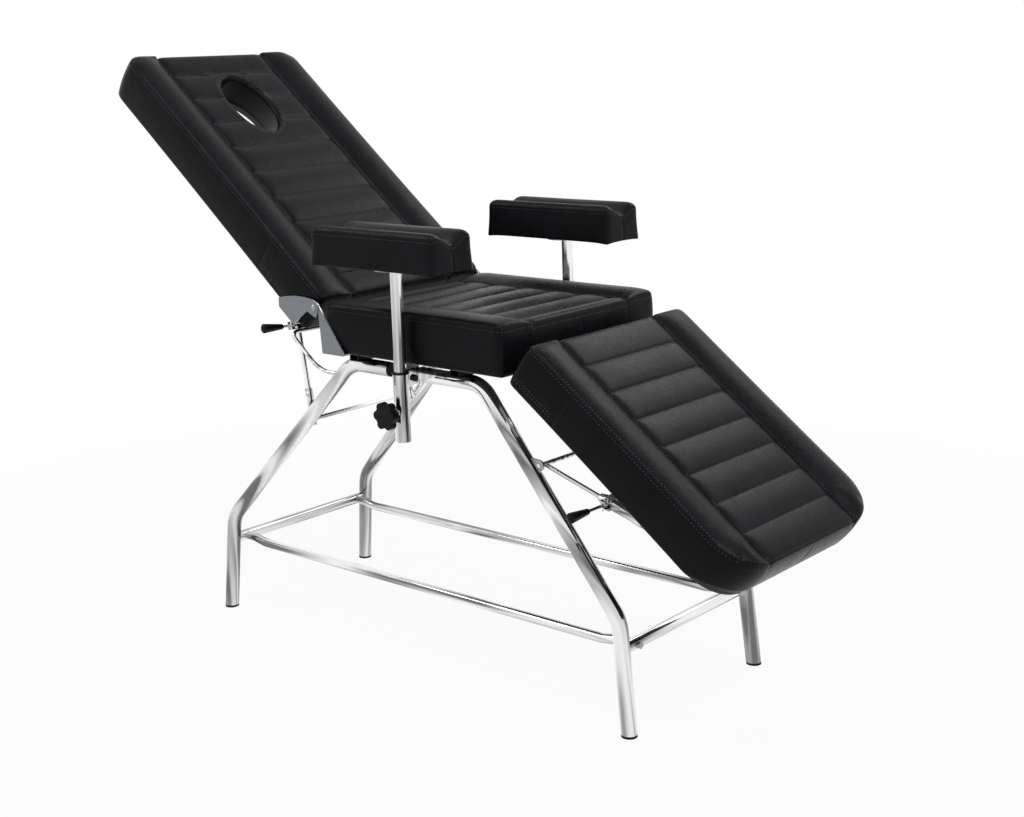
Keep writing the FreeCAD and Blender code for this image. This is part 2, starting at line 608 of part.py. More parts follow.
leg_pivot = Vector(size("leg_pivot_place"), 0, size("leg_pivot_height"))
leg_frame = Placement(leg_pivot, Rotation(Vector(0, 1, 0), size("leg_angle")))
leg_place = leg_frame * Placement(Vector(size("leg_pad_gap"), 0, size("leg_board_rise")), Rotation())
leg_channels = [size("leg_channel_first") + size("leg_channel_pitch") * count
                for count in range(int(size("leg_channels")))]
solid("leg_pad", make_pad(size("leg_length"), size("leg_thick"), leg_channels, CORNER,
                          size("leg_corner"), size("leg_toe_radius")), leg_place)
solid("leg_board", board_block(size("leg_length"), CORNER, size("leg_corner")), leg_place)

# Hinge plates of the back: the seat's plate inside, the back's plate outside it, on one
# rivet that is fixed in the seat's plate.
plate_inner = "(pad_half + plate_gap)"
plate_outer = f"({plate_inner} + plate_thick + plate_gap)"
rivets = []
for side_name, side in SIDES:
    seat_plate = new_body(side_name + "_seat_plate", Placement(back_pivot, Rotation()))
    start = plate_inner if side < 0 else f"-({plate_inner} + plate_thick)"
    under = "(bearer_top - back_pivot_height)"
    outline = [("seat_plate_neck", "-plate_tip"),
               ("seat_plate_back", f"{under} - plate_thick"),
               ("seat_plate_front", f"{under} - plate_thick"),
               ("seat_plate_front", f"{under} + seat_plate_step"),
               ("plate_tip * plate_cheek_share", "plate_tip * plate_rise_share"),
               ("0", "0")]
    sketch = new_sketch(seat_plate, "XZ", start)
    draw_outline(sketch, outline)
    feature(seat_plate, "Pad", sketch, "plate_thick")
    sketch = new_sketch(seat_plate, "XZ", start)
    draw_circle(sketch, "0", "0", "2 * plate_tip")
    feature(seat_plate, "Pad", sketch, "plate_thick")
    sketch = new_sketch(seat_plate, "XY", f"{under} - plate_thick")
    near_edge = f"{side} * ({plate_inner} + plate_thick)"
    far_edge = f"{side} * ({plate_inner} - plate_flange)"
    draw_outline(sketch, [("seat_plate_back", near_edge), ("seat_plate_front", near_edge),
                          ("seat_plate_front", far_edge), ("seat_plate_back", far_edge)][::-side])
    feature(seat_plate, "Pad", sketch, "plate_thick")

    back_plate = new_body(side_name + "_back_plate", back_frame)
    local = -side
    start = plate_outer if local < 0 else f"-({plate_outer} + plate_thick)"
    sketch = new_sketch(back_plate, "XZ", start)
    draw_outline(sketch, [("plate_notch_reach", "-plate_notch_drop"),
                          ("back_plate_near", "-back_under - plate_thick"),
                          ("back_plate_far - back_plate_trim", "-back_under - plate_thick"),
                          ("back_plate_far", "back_plate_trim - back_under"),
                          ("plate_brow_reach", "plate_brow_rise", "-back_plate_bow"),
                          ("-plate_nose_reach", "plate_nose_rise"),
                          ("-plate_chin_reach", "-plate_chin_drop")])
    feature(back_plate, "Pad", sketch, "plate_thick")
    sketch = new_sketch(back_plate, "XY", "-back_under - plate_thick")
    near_edge = f"{local} * ({plate_outer} + plate_thick)"
    far_edge = f"{local} * ({plate_outer} - plate_flange)"
    flange_end = "back_plate_far - back_plate_trim"
    draw_outline(sketch, [("back_plate_near", near_edge), (flange_end, near_edge),
                          (flange_end, far_edge), ("back_plate_near", far_edge)][::-local])
    feature(back_plate, "Pad", sketch, "plate_thick")
    sketch = new_sketch(back_plate, "XZ", "0")
    draw_circle(sketch, "0", "0", "rivet_shank + 2 * running_gap")
    feature(back_plate, "Pocket", sketch, f"3 * {plate_outer}")
    sketch = new_sketch(seat_plate, "XZ", "0")
    draw_circle(sketch, "0", "0", "rivet_shank")
    feature(seat_plate, "Pocket", sketch, f"3 * {plate_outer}")

    out = Vector(0, side, 0)
    inner_face, outer_face = size(plate_inner), size(f"{plate_outer} + plate_thick + plate_gap")
    shank = rod_between(back_pivot + out * inner_face, back_pivot + out * outer_face, size("rivet_shank"))
    dome_radius = (size("rivet_head") ** 2 / 4 + size("rivet_dome") ** 2) / (2 * size("rivet_dome"))
    ball = Part.makeSphere(dome_radius, back_pivot + out * (outer_face + size("rivet_dome") - dome_radius))
    cap_room = rod_between(back_pivot + out * outer_face,
                           back_pivot + out * (outer_face + size("rivet_head")), size("rivet_head"))
    rivets.append(shank.fuse(ball.common(cap_room)))

# Butt hinges of the leg rest: a fixed leaf and a moving leaf with turned knuckles on a pin.


def butt_leaf(low, high, direction, tabs):
    """One leaf between two heights, on one side of the pin, with knuckles at the tabs."""
    reach, away = size("butt_leaf"), size("butt_offset")
    shape = None
    for place in (-1, 1):
        middle = place * size("butt_place")
        width = size("butt_width")
        span = [away, away + reach] if direction > 0 else [-away - reach, -away]
        leaf = Part.makeBox(span[1] - span[0], width, high - low,
                            Vector(span[0], middle - width / 2, low))
        for start, stop in tabs:
            tab_low = middle - width / 2 + start * width
            tab = Part.makeBox(away, (stop - start) * width, high - low,
                               Vector(0 if direction > 0 else -away, tab_low, low))
            knuckle = rod_between(Vector(0, tab_low, 0), Vector(0, tab_low + (stop - start) * width, 0),
                                  size("butt_knuckle"))
            leaf = leaf.fuse(tab).fuse(knuckle)
        leaf = leaf.cut(rod_between(Vector(0, middle - width, 0), Vector(0, middle + width, 0),
                                    size("butt_pin") + 2 * size("running_gap")))
        shape = leaf if shape is None else Part.makeCompound([shape, leaf.removeSplitter()])
    return shape


knuckle_gap = size("butt_gap") / size("butt_width")
third = 1 / 3
board_low = bearer_top - leg_pivot.z
solid("leg_hinge_fixed_leaves",
      butt_leaf(board_low - size("butt_thick"), board_low, -1, [(0, third), (1 - third, 1)]),
      Placement(leg_pivot, Rotation()))
rise = size("leg_board_rise")
solid("leg_hinge_moving_leaves",
      butt_leaf(rise - size("butt_thick"), rise, 1, [(third + knuckle_gap, 1 - third - knuckle_gap)]),
      leg_frame)
pins = []
for place in (-1, 1):
    middle, half = place * size("butt_place"), size("butt_width") / 2
    pins.append(rod_between(Vector(0, middle - half, 0), Vector(0, middle + half, 0), size("butt_pin")))
solid("leg_hinge_pins", Part.makeCompound(pins), Placement(leg_pivot, Rotation()))

# Hoop: one rod from leg to leg whose bar carries the back when it lies flat.
hoop_bar_height = size("back_pivot_height - back_under - hoop_rod / 2 - face_gap")
hoop_half = [Vector(size("-shoulder_reach - hoop_foot_behind"), size("rail_spread + hoop_foot_out"),
                    size("rail_height - hoop_foot_drop")),
             Vector(size("-shoulder_reach - hoop_elbow_behind"), size("rail_spread + hoop_elbow_out"),
                    size("rail_height - hoop_elbow_drop")),
             Vector(size("-shoulder_reach - hoop_bar_behind"), size("rail_spread + hoop_bar_out"),
                    hoop_bar_height)]
hoop_other = [Vector(point.x, -point.y, point.z) for point in hoop_half[::-1]]
elbow, corner = size("hoop_elbow_radius"), size("hoop_corner_radius")
hoop = tube_along(hoop_half + hoop_other, [elbow, corner, corner, elbow], size("hoop_rod"))
solid("back_stop_hoop", hoop.cut(legs["head", "near"]).cut(legs["head", "far"]))

# Stays. Each frame has its origin on the pivot at the stay's foot, X along the stay.


def stay_path(foot, pivot, run, under, turn_sign, angles):
    """Length and angle of a stay whose upper pin is carried round a pivot."""
    out = []
    for angle in angles:
        lean = math.radians(angle)
        along = Vector(math.cos(lean) * turn_sign, 0, math.sin(lean) * -turn_sign)
        normal = Vector(math.sin(lean), 0, math.cos(lean))
        if turn_sign < 0:
            along = Vector(-math.cos(lean), 0, math.sin(lean))
        pin = pivot + along * run - normal * under
        reach = pin - foot
        out.append((reach.Length, math.degrees(math.atan2(reach.z, reach.x)), pin, along, normal))
    return out


def stay_motion(foot, pivot, run, under, turn_sign, rest, end_angle, swing_share, stroke_share):
    """Straight-line swing and stroke of a stay, and the room its pin needs in the ears."""
    count = 24
    angles = [end_angle * step / count for step in range(count + 1)]
    flat, last = stay_path(foot, pivot, run, under, turn_sign, [0, end_angle])
    at_rest = stay_path(foot, pivot, run, under, turn_sign, [rest])[0]
    swing = (last[1] - flat[1]) / end_angle * swing_share
    stroke = (last[0] - flat[0]) / end_angle * stroke_share
    along_room, normal_room = [0.0], [0.0]
    for angle, (length, lean, pin, along, normal) in zip(
            angles, stay_path(foot, pivot, run, under, turn_sign, angles)):
        driven = math.radians(at_rest[1] + swing * (angle - rest))
        reach = at_rest[0] + stroke * (angle - rest)
        slip = foot + Vector(math.cos(driven), 0, math.sin(driven)) * reach - pin
        along_room.append(slip.dot(along))
        normal_room.append(slip.dot(normal))
    return at_rest, swing, stroke, (min(along_room), max(along_room), min(normal_room), max(normal_room))


def stay_frame(foot, angle):
    """Placement with X along the stay."""
    return Placement(foot, Rotation(Vector(0, 1, 0), -angle))


stay_foot = Vector(size("stay_foot_place"), 0, size("stay_foot_height"))
stay_rest, stay_swing, stay_stroke, stay_room = stay_motion(
    stay_foot, back_pivot, size("stay_pin_run"), size("stay_pin_under"), -1,
    size("back_angle"), size("back_top_angle"), size("stay_swing_share"), size("stay_stroke_share"))
stay_place = stay_frame(stay_foot, stay_rest[1])
stay_y = size("stay_spread")

# Guides: two sleeves joined by a bar, with a journal out to each head leg.
guide_size = size("stay_rod + 2 * running_gap + 2 * guide_wall")
guides = rod_between(Vector(0, -stay_y, 0), Vector(0, stay_y, 0), size("guide_bar"))
for side_name, side in SIDES:
    sleeve = rod_between(Vector(-size("guide_low"), side * stay_y, 0),
                         Vector(size("guide_high"), side * stay_y, 0), guide_size)
    journal = rod_between(Vector(0, side * stay_y, 0), Vector(0, side * size("guide_journal"), 0),
                          size("guide_bar"))
    guides = guides.fuse(sleeve).fuse(journal)
for side_name, side in SIDES:
    guides = guides.cut(rod_between(Vector(-2 * size("guide_low"), side * stay_y, 0),
                                    Vector(2 * size("guide_high"), side * stay_y, 0),
                                    size("stay_rod + 2 * running_gap")))
    socket = rod_between(stay_foot + Vector(0, side * (stay_y - size("stay_rod")), 0),
                         stay_foot + Vector(0, side * (size("guide_journal + overrun")), 0),
                         size("guide_bar + 2 * running_gap"))
    legs["head", side_name] = legs["head", side_name].cut(socket)
solid("back_stay_guides", guides, stay_place)

# Rods of the stay, the cross shaft at their top and the release head on the near rod.
shaft_at = stay_rest[0]
rod_low = shaft_at - size("stay_rod_length")
for side_name, side in SIDES:
    rod = rod_between(Vector(rod_low, side * stay_y, 0),
                      Vector(shaft_at + size("stay_shaft"), side * stay_y, 0), size("stay_rod"))
    bore = rod_between(Vector(shaft_at, -2 * stay_y, 0), Vector(shaft_at, 2 * stay_y, 0),
                       size("stay_shaft"))
    solid(side_name + "_back_stay_rod", rod.cut(bore), stay_place)
shaft_half = stay_y + size("stay_rod") / 2 + size("overrun")
solid("back_stay_shaft", rod_between(Vector(shaft_at, -shaft_half, 0), Vector(shaft_at, shaft_half, 0),
                                     size("stay_shaft")), stay_place)


def release_head(station, rod_y, rod_size, width, length):
    """A clamp block round a rod with two cheeks that hold the lever's pin on its near side."""
    block = Part.makeBox(length, width, width,
                         Vector(station - length / 2, rod_y - width / 2, -width / 2))
    cheek_reach = size("lever_eye")
    cheek = size("ear_thick")
    room = size("lever_eye_height / 2 + face_gap")
    for low in (-room - cheek, room):
        block = block.fuse(Part.makeBox(length, cheek_reach + size("overrun"), cheek,
                                        Vector(station - length / 2,
                                               rod_y - width / 2 - cheek_reach, low)))
    pin_y = rod_y - width / 2 - cheek_reach / 2
    pin = rod_between(Vector(station, pin_y, -width / 2), Vector(station, pin_y, width / 2),
                      size("release_pin"))
    block = block.fuse(pin)
    return block.cut(rod_between(Vector(station - width, rod_y, 0), Vector(station + width, rod_y, 0),
                                 rod_size)).removeSplitter(), pin_y


def lever_rod(station, pin_y, reach, tilt):
    """A flat-eyed rod that swings on its pin and runs to the near side."""
    half = size("lever_eye_height") / 2
    eye = rod_between(Vector(station, pin_y, -half), Vector(station, pin_y, half),
                      size("lever_eye - 2 * face_gap"))
    lean = math.radians(tilt)
    tip = Vector(station + math.sin(lean) * reach, pin_y - math.cos(lean) * reach, 0)
    shape = eye.fuse(rod_between(Vector(station, pin_y, 0), tip, size("lever_rod")))
    hole = rod_between(Vector(station, pin_y, -size("lever_eye")),
                       Vector(station, pin_y, size("lever_eye")), size("release_pin + 2 * running_gap"))
    return shape.cut(hole).removeSplitter(), tip, lean


def make_grip(label, station_tip, lean, frame):
    """A turned handle that thickens towards a domed end, on the end of a lever rod."""
    grip = new_body(label)
    sketch = new_sketch(grip, "XY")
    dome_radius = "(grip_large ^ 2 / 4 + grip_dome ^ 2) / (2 * grip_dome)"
    draw_outline(sketch, [("0", "0"), ("grip_length", "0"),
                          ("grip_length - grip_dome", "grip_large / 2", f"-{dome_radius}"),
                          ("grip_dome", "grip_small / 2"), ("0", "grip_small / 3")])
    turned = grip.newObject("PartDesign::Revolution", label + "_turned")
    turned.Profile = sketch
    turned.ReferenceAxis = (sketch, ["H_Axis"])
    turned.Angle = 360
    doc.recompute()
    sketch = new_sketch(grip, "YZ")
    draw_circle(sketch, "0", "0", "lever_rod")
    feature(grip, "Pocket", sketch, "2 * grip_cover")
    direction = Vector(math.sin(lean), -math.cos(lean), 0)
    base = station_tip - direction * size("grip_cover")
    grip.Placement = frame * Placement(base, Rotation(Vector(1, 0, 0), direction))
    return grip


head_shape, head_pin_y = release_head(size("release_station"), -stay_y, size("stay_rod"),
                                      size("release_width"), size("release_length"))
solid("back_release_head", head_shape, stay_place)
lever_shape, lever_tip, lever_lean = lever_rod(size("release_station"), head_pin_y,
                                               size("lever_reach"), size("lever_tilt"))
solid("back_release_lever", lever_shape, stay_place)
make_grip("back_lever_grip", lever_tip, lever_lean, stay_place)

# Ears under the back board: plates with windows in which the shaft rides.


def make_ears(label, frame, under, pin_run, pin_under, room, shaft, spread):
    """Two L-shaped ears with a rounded window each, hanging from the underside."""
    ears = []
    gap = size("window_gap")
    low_s, high_s = pin_run + room[0] - shaft / 2 - gap, pin_run + room[1] + shaft / 2 + gap
    low_h, high_h = -pin_under + room[2] - shaft / 2 - gap, -pin_under + room[3] + shaft / 2 + gap
    margin, thick, foot = size("ear_margin"), size("ear_thick"), size("ear_foot")
    for side in (-1, 1):
        face = side * spread
        start = min(face, face + side * thick)
        web = Part.makeBox(high_s - low_s + 2 * margin, thick, -under - low_h + margin,
                           Vector(low_s - margin, start, low_h - margin))
        flange = Part.makeBox(high_s - low_s + 2 * margin, foot, thick,
                              Vector(low_s - margin, min(face, face - side * foot), -under - thick))
        window = Part.makeBox(high_s - low_s, 3 * thick, high_h - low_h,
                              Vector(low_s, start - thick, low_h))
        corner_edges = [edge for edge in window.Edges
                        if abs(edge.tangentAt(edge.FirstParameter).y) > 0.99]
        window = window.makeFillet(shaft / 2, corner_edges)
        ears.append(web.fuse(flange).cut(window).removeSplitter())
    return solid(label, Part.makeCompound(ears), frame)


make_ears("back_stay_ears", back_frame, size("back_under"), size("stay_pin_run"),
          size("stay_pin_under"), stay_room, size("stay_shaft"), size("ear_spread"))

# Stay of the leg rest: a fork of two rods that turns in lugs on the foot legs.
prop_foot = Vector(size("prop_foot_place"), 0, size("prop_foot_height"))
prop_rest, prop_swing, prop_stroke, prop_room = stay_motion(
    prop_foot, leg_pivot, size("prop_pin_run"), size("prop_pin_under"), 1,
    size("leg_angle"), size("leg_low_angle"), size("prop_swing_share"), size("prop_stroke_share"))
prop_place = stay_frame(prop_foot, prop_rest[1])
prop_y = size("prop_spread")
foot_knee, foot_shoulder = leg_points(1, 1)[1:3]
leg_beside = point_at_height(foot_knee, foot_shoulder, prop_foot.z)
lug_y = leg_beside.y
fork = rod_between(Vector(0, -lug_y - size("lug_thick"), 0), Vector(0, lug_y + size("lug_thick"), 0),
                   size("prop_rod"))
for side_name, side in SIDES:
    fork = fork.fuse(rod_between(Vector(0, side * prop_y, 0),
                                 Vector(size("prop_rod_length"), side * prop_y, 0), size("prop_rod")))
solid("leg_stay_fork", fork.removeSplitter(), prop_place)

lugs = []
for side_name, side in SIDES:
    leg = legs["foot", side_name]
    root = Vector(leg_beside.x, side * lug_y, prop_foot.z)
    start = Vector(prop_foot.x, side * lug_y - size("lug_thick") / 2, prop_foot.z)
    across = Vector(0, size("lug_thick"), 0)
    eye = Part.makeCylinder(size("lug_eye") / 2, size("lug_thick"), start, across)
    low = point_at_height(foot_knee, foot_shoulder, prop_foot.z - size("lug_root") / 2)
    high = point_at_height(foot_knee, foot_shoulder, prop_foot.z + size("lug_root") / 2)
    web_points = [Vector(low.x, start.y, low.z),
                  Vector(prop_foot.x, start.y, prop_foot.z - size("lug_eye") / 2),
                  Vector(prop_foot.x, start.y, prop_foot.z + size("lug_eye") / 2),
                  Vector(high.x, start.y, high.z)]
    web = Part.Face(Part.makePolygon(web_points + web_points[:1])).extrude(across)
    hole = Part.makeCylinder(size("prop_rod") / 2 + size("running_gap"), 3 * size("lug_thick"),
                             start - across, across)
    lugs.append(eye.fuse(web).cut(hole).cut(leg).removeSplitter())
solid("leg_stay_lugs", Part.makeCompound([max(lug.Solids, key=lambda item: item.Volume) for lug in lugs]))

# Housings that slide on the fork's rods, and the cross tube that turns in the ears.
pin_at = prop_rest[0]
back_reach, front_reach = size("prop_housing_back"), size("prop_housing_front")
for label, side in (("leg_lock_housing", -1), ("leg_guide_housing", 1)):
    y = side * prop_y
    barrel = rod_between(Vector(pin_at - back_reach, y, 0), Vector(pin_at + front_reach, y, 0),
                         size("prop_housing"))
    nose = Part.makeCone(size("prop_nose_size") / 2, size("prop_housing") / 2, size("prop_nose"),
                         Vector(pin_at - back_reach - size("prop_nose"), y, 0), Vector(1, 0, 0))
    shape = barrel.fuse(nose)
    if side < 0:
        clamp, prop_pin_y = release_head(pin_at - size("prop_lever_station"), y, size("prop_rod"),
                                         size("prop_housing"), size("release_length"))
        shape = shape.fuse(clamp)
    bore = rod_between(Vector(pin_at - 2 * back_reach, y, 0), Vector(pin_at + 2 * front_reach, y, 0),
                       size("prop_rod + 2 * running_gap"))
    solid(label, shape.cut(bore).removeSplitter(), prop_place)
cross = rod_between(Vector(pin_at, -prop_y, 0), Vector(pin_at, prop_y, 0), size("prop_shaft"))
for side_name, side in SIDES:
    cross = cross.cut(rod_between(Vector(pin_at - back_reach, side * prop_y, 0),
                                  Vector(pin_at + back_reach, side * prop_y, 0), size("prop_housing")))
solid("leg_stay_shaft", cross, prop_place)
lever_station = pin_at - size("prop_lever_station")
lever_shape, lever_tip, lever_lean = lever_rod(lever_station, prop_pin_y, size("prop_lever_reach"), 0)
solid("leg_release_lever", lever_shape, prop_place)
make_grip("leg_lever_grip", lever_tip, lever_lean, prop_place)
make_ears("leg_stay_ears", leg_frame, -size("leg_board_rise"), size("prop_pin_run"),
          size("prop_pin_under"), prop_room, size("prop_shaft"), size("prop_ear_spread"))

# Armrest brackets: a slit sleeve for the post, a nut for the knob and a gusset that butts
# on the foot rail and is bolted to a tab under the seat board.
collars = []
tabs = []
tab_bolts = []
arm_parts = {}
for side_name, side in SIDES:
    axis_x, axis_y = size("post_place"), side * size("post_spread")
    low, high = size("sleeve_low"), size("sleeve_high")
    sleeve = Part.makeCylinder(size("sleeve_tube") / 2, high - low, Vector(axis_x, axis_y, low))
    gx, gt = size("gusset_place"), size("gusset_thick")
    rail_face = side * size("rail_spread")
    gusset_low_sleeve = size("gusset_top - gusset_drop_sleeve")
    gusset_low_rail = size("gusset_top - gusset_drop_rail")
    top = size("gusset_top")
    chord_start = Vector(gx, axis_y, gusset_low_sleeve)
    chord_stop = Vector(gx, rail_face, gusset_low_rail)
    chord = chord_stop - chord_start
    normal = Vector(0, -chord.z, chord.y).normalize()
    normal = normal if normal.z > 0 else normal * -1
    bow = size("gusset_bow")
    sag = bow - math.sqrt(bow ** 2 - (chord.Length / 2) ** 2)
    gusset_edges = [line(Vector(gx, axis_y, top), chord_start),
                    arc_through(chord_start, (chord_start + chord_stop) / 2 + normal * sag, chord_stop),
                    line(chord_stop, Vector(gx, rail_face, top)),
                    line(Vector(gx, rail_face, top), Vector(gx, axis_y, top))]
    gusset = Part.Face(Part.Wire(gusset_edges)).extrude(Vector(gt, 0, 0))
    knob_z = size("knob_height")
    out = Vector(0, side, 0)
    wall_y = axis_y + side * size("sleeve_tube") / 2
    nut_start = Vector(axis_x, axis_y, knob_z)
    nut_tip = Vector(axis_x, wall_y + side * size("nut_length"), knob_z)
    nut = rod_between(nut_start, nut_tip, size("nut_size"))
    bracket = sleeve.fuse(gusset).fuse(nut)
    bracket = bracket.cut(Part.makeCylinder(size("post_tube") / 2 + size("running_gap"), 2 * (high - low),
                                            Vector(axis_x, axis_y, low - (high - low) / 2)))
    bracket = bracket.cut(legs["foot", side_name])
    slit_low = high - size("slit_length")
    slit = Part.makeBox(size("slit_width"), size("sleeve_tube"), 2 * size("slit_length"),
                        Vector(axis_x - size("slit_width") / 2,
                               axis_y if side > 0 else axis_y - size("sleeve_tube"), slit_low))
    slit = slit.fuse(rod_between(Vector(axis_x, axis_y, slit_low),
                                 Vector(axis_x, axis_y + side * size("sleeve_tube"), slit_low),
                                 size("slit_width + 2 * overrun")))
    bracket = bracket.cut(slit)
    stud_hole = rod_between(Vector(axis_x, axis_y, knob_z), nut_tip + out * size("overrun"),
                            size("stud_size + 2 * running_gap"))
    bracket = bracket.cut(stud_hole)
    bolt_seat = Vector(gx + gt, side * size("tab_place"), size("tab_bolt_height"))
    grip = gt + size("tab_thick + bolt_head")
    bracket = bracket.cut(bolt_hole(bolt_seat, Vector(1, 0, 0), SHANK, grip))
    solid(side_name + "_post_bracket", max(bracket.Solids, key=lambda item: item.Volume))
    collar = Part.makeCylinder(size("collar_size") / 2, size("collar_height"), Vector(axis_x, axis_y, high))
    collars.append(collar.cut(Part.makeCylinder(size("post_tube") / 2 + size("running_gap"),
                                                3 * size("collar_height"),
                                                Vector(axis_x, axis_y, high - size("collar_height")))))
    tab_low = size("tab_bolt_height") - size("bolt_flats")
    tab_y = side * size("tab_place") - size("tab_width") / 2
    tab = Part.makeBox(size("tab_thick"), size("tab_width"), bearer_top - tab_low,
                       Vector(gx - size("tab_thick"), tab_y, tab_low))
    tab = tab.fuse(Part.makeBox(size("tab_foot"), size("tab_width"), size("tab_thick"),
                                Vector(gx - size("tab_foot"), tab_y, bearer_top - size("tab_thick"))))
    tabs.append(tab.cut(bolt_hole(bolt_seat, Vector(1, 0, 0), SHANK, grip)).removeSplitter())
    tab_bolts.append(hex_bolt(bolt_seat, Vector(1, 0, 0), SHANK, grip))

    # Post, with the plate that turns in its top.
    outer = doc.addObject("Part::Cylinder", side_name + "_post_outer")
    inner = doc.addObject("Part::Cylinder", side_name + "_post_inner")
    for bar, width, over in ((outer, "post_tube / 2", "0"),
                             (inner, "post_bore / 2 + running_gap", "overrun")):
        bar.setExpression("Radius", bound(width))
        bar.setExpression("Height", bound(f"post_length + 2 * {over}"))
        bar.setExpression("Placement.Base.x", bound("post_place"))
        bar.setExpression("Placement.Base.y", bound(f"{side} * post_spread"))
        bar.setExpression("Placement.Base.z", bound(f"post_low - {over}"))
    post = doc.addObject("Part::Cut", side_name + "_post_tube")
    post.Base, post.Tool = outer, inner
    node(post, side_name + "_armrest_post")

    disc = doc.addObject("Part::Cylinder", side_name + "_arm_disc")
    spigot = doc.addObject("Part::Cylinder", side_name + "_arm_spigot")
    for bar, width, height, base in ((disc, "arm_disc / 2", "arm_disc_thick", "post_high + face_gap"),
                                     (spigot, "post_bore / 2", "arm_spigot + face_gap",
                                      "post_high - arm_spigot")):
        bar.setExpression("Radius", bound(width))
        bar.setExpression("Height", bound(height))
        bar.setExpression("Placement.Base.x", bound("post_place"))
        bar.setExpression("Placement.Base.y", bound(f"{side} * post_spread"))
        bar.setExpression("Placement.Base.z", bound(base))
    swivel = doc.addObject("Part::MultiFuse", side_name + "_arm_swivel")
    swivel.Shapes = [disc, spigot]
    node(swivel, side_name + "_armrest_plate")

    # Padded armrest on its board: raised long sides, a trough and a flared foot.
    arm_low = size("post_high + face_gap + arm_disc_thick")
    length, width, height = size("arm_length"), size("arm_width"), size("arm_height")
    flare, rim, trough = size("arm_flare"), size("arm_rim"), size("arm_trough")
    half = width / 2
    top = half - flare
    crest = height - rim * size("arm_shoulder_share")
    hollow = trough * size("arm_hollow_share")
    section = [line(Vector(0, 0, 0), Vector(0, half, 0)),
               arc_through(Vector(0, half, 0),
                           Vector(0, half - flare * size("arm_flare_share"),
                                  height * size("arm_waist_share")),
                           Vector(0, top, height - rim)),
               arc_through(Vector(0, top, height - rim), Vector(0, top - rim, height),
                           Vector(0, top - 2 * rim, crest)),
               arc_through(Vector(0, top - 2 * rim, crest),
                           Vector(0, (top - 2 * rim) / 2, crest - hollow),
                           Vector(0, 0, crest - trough))]
    arm = Part.Face(mirrored_outline(section)).extrude(Vector(length, 0, 0))
    draw = size("arm_end_draw")
    soft = rim * QUARTER
    profile = [line(Vector(0, 0, 0), Vector(length, 0, 0)),
               line(Vector(length, 0, 0), Vector(length - draw, 0, height - rim)),
               arc_through(Vector(length - draw, 0, height - rim),
                           Vector(length - draw - soft, 0, height - soft),
                           Vector(length - draw - rim, 0, height)),
               line(Vector(length - draw - rim, 0, height), Vector(draw + rim, 0, height)),
               arc_through(Vector(draw + rim, 0, height), Vector(draw + soft, 0, height - soft),
                           Vector(draw, 0, height - rim)),
               line(Vector(draw, 0, height - rim), Vector(0, 0, 0))]
    side_block = Part.Face(Part.Wire(profile)).extrude(Vector(0, width, 0))
    side_block.translate(Vector(0, -half, 0))
    arm = arm.common(side_block)
    inset, thick = size("arm_board_inset"), size("arm_board_thick")
    arm_place = Placement(Vector(axis_x - size("arm_offset") - length / 2, axis_y, arm_low), Rotation())
    board = Part.makeBox(length - 2 * inset, width - 2 * inset, thick, Vector(inset, inset - half, 0))
    gap = size("face_gap")
    recess = Part.makeBox(length - 2 * inset + 2 * gap, width - 2 * inset + 2 * gap, thick,
                          Vector(inset - gap, inset - half - gap, 0))
    solid(side_name + "_armrest_pad", arm.cut(recess), arm_place)
    solid(side_name + "_armrest_board", board, arm_place)

    # Star knob: a lobed plastic head on a threaded stud that clamps the post.
    knob = new_body(side_name + "_star_knob",
                    Placement(nut_tip + out * size("face_gap + knob_boss_length"),
                              Rotation(Vector(0, 0, 1), out)))
    sketch = new_sketch(knob, "XY")
    draw_circle(sketch, "0", "0", "knob_core")
    feature(knob, "Pad", sketch, "knob_thick")
    sketch = new_sketch(knob, "XY")
    draw_circle(sketch, "(knob_size - knob_lobe) / 2", "0", "knob_lobe")
    lobe = feature(knob, "Pad", sketch, "knob_thick")
    pattern = knob.newObject("PartDesign::PolarPattern", side_name + "_knob_lobes")
    pattern.Originals = [lobe]
    pattern.Axis = (sketch, ["N_Axis"])
    pattern.Angle = 360
    pattern.setExpression("Occurrences", bound("knob_lobes"))
    knob.Tip = pattern
    doc.recompute()
    sketch = new_sketch(knob, "XY", "-knob_boss_length")
    draw_circle(sketch, "0", "0", "knob_boss")
    feature(knob, "Pad", sketch, "knob_boss_length + knob_thick / 2")
    stud_reach = "(knob_boss_length + nut_length + face_gap + sleeve_tube / 2 - post_tube / 2 - face_gap)"
    sketch = new_sketch(knob, "XY", f"-{stud_reach}")
    draw_circle(sketch, "0", "0", "stud_size")
    feature(knob, "Pad", sketch, f"{stud_reach}")

# The frame's tubes, cut for everything that passes through them, and the grouped pieces.
for (end_name, side_name), shape in legs.items():
    solid(f"{side_name}_{end_name}_leg", shape)
for end_name, shape in cross_tubes.items():
    solid(end_name + "_cross_tube", shape)
for side_name, shape in stretchers.items():
    solid(side_name + "_stretcher", shape)
solid("seat_board", seat_board, seat_place)
solid("foot_caps", Part.makeCompound(caps))
solid("rail_plugs", Part.makeCompound(plugs))
solid("stretcher_bolts", Part.makeCompound(stretcher_bolts))
solid("bearer_bolts", Part.makeCompound(bearer_bolts))
solid("hinge_rivets", Part.makeCompound(rivets))
solid("sleeve_collars", Part.makeCompound(collars))
solid("armrest_tabs", Part.makeCompound(tabs))
solid("armrest_tab_bolts", Part.makeCompound(tab_bolts))

doc.recompute()
for thing in doc.Objects:
    if "Invalid" in thing.State or "Error" in thing.State:
        raise RuntimeError(f"{thing.Label} failed: {thing.State}")
broken = [thing.Label for thing in NODES if thing.Shape.isNull() or not thing.Shape.isValid()]
if broken:
    raise RuntimeError("no valid shape: " + ", ".join(broken))

os.makedirs("parts", exist_ok=True)
for thing in NODES:
    thing.Shape.exportStep(f"parts/{thing.Label}.step")

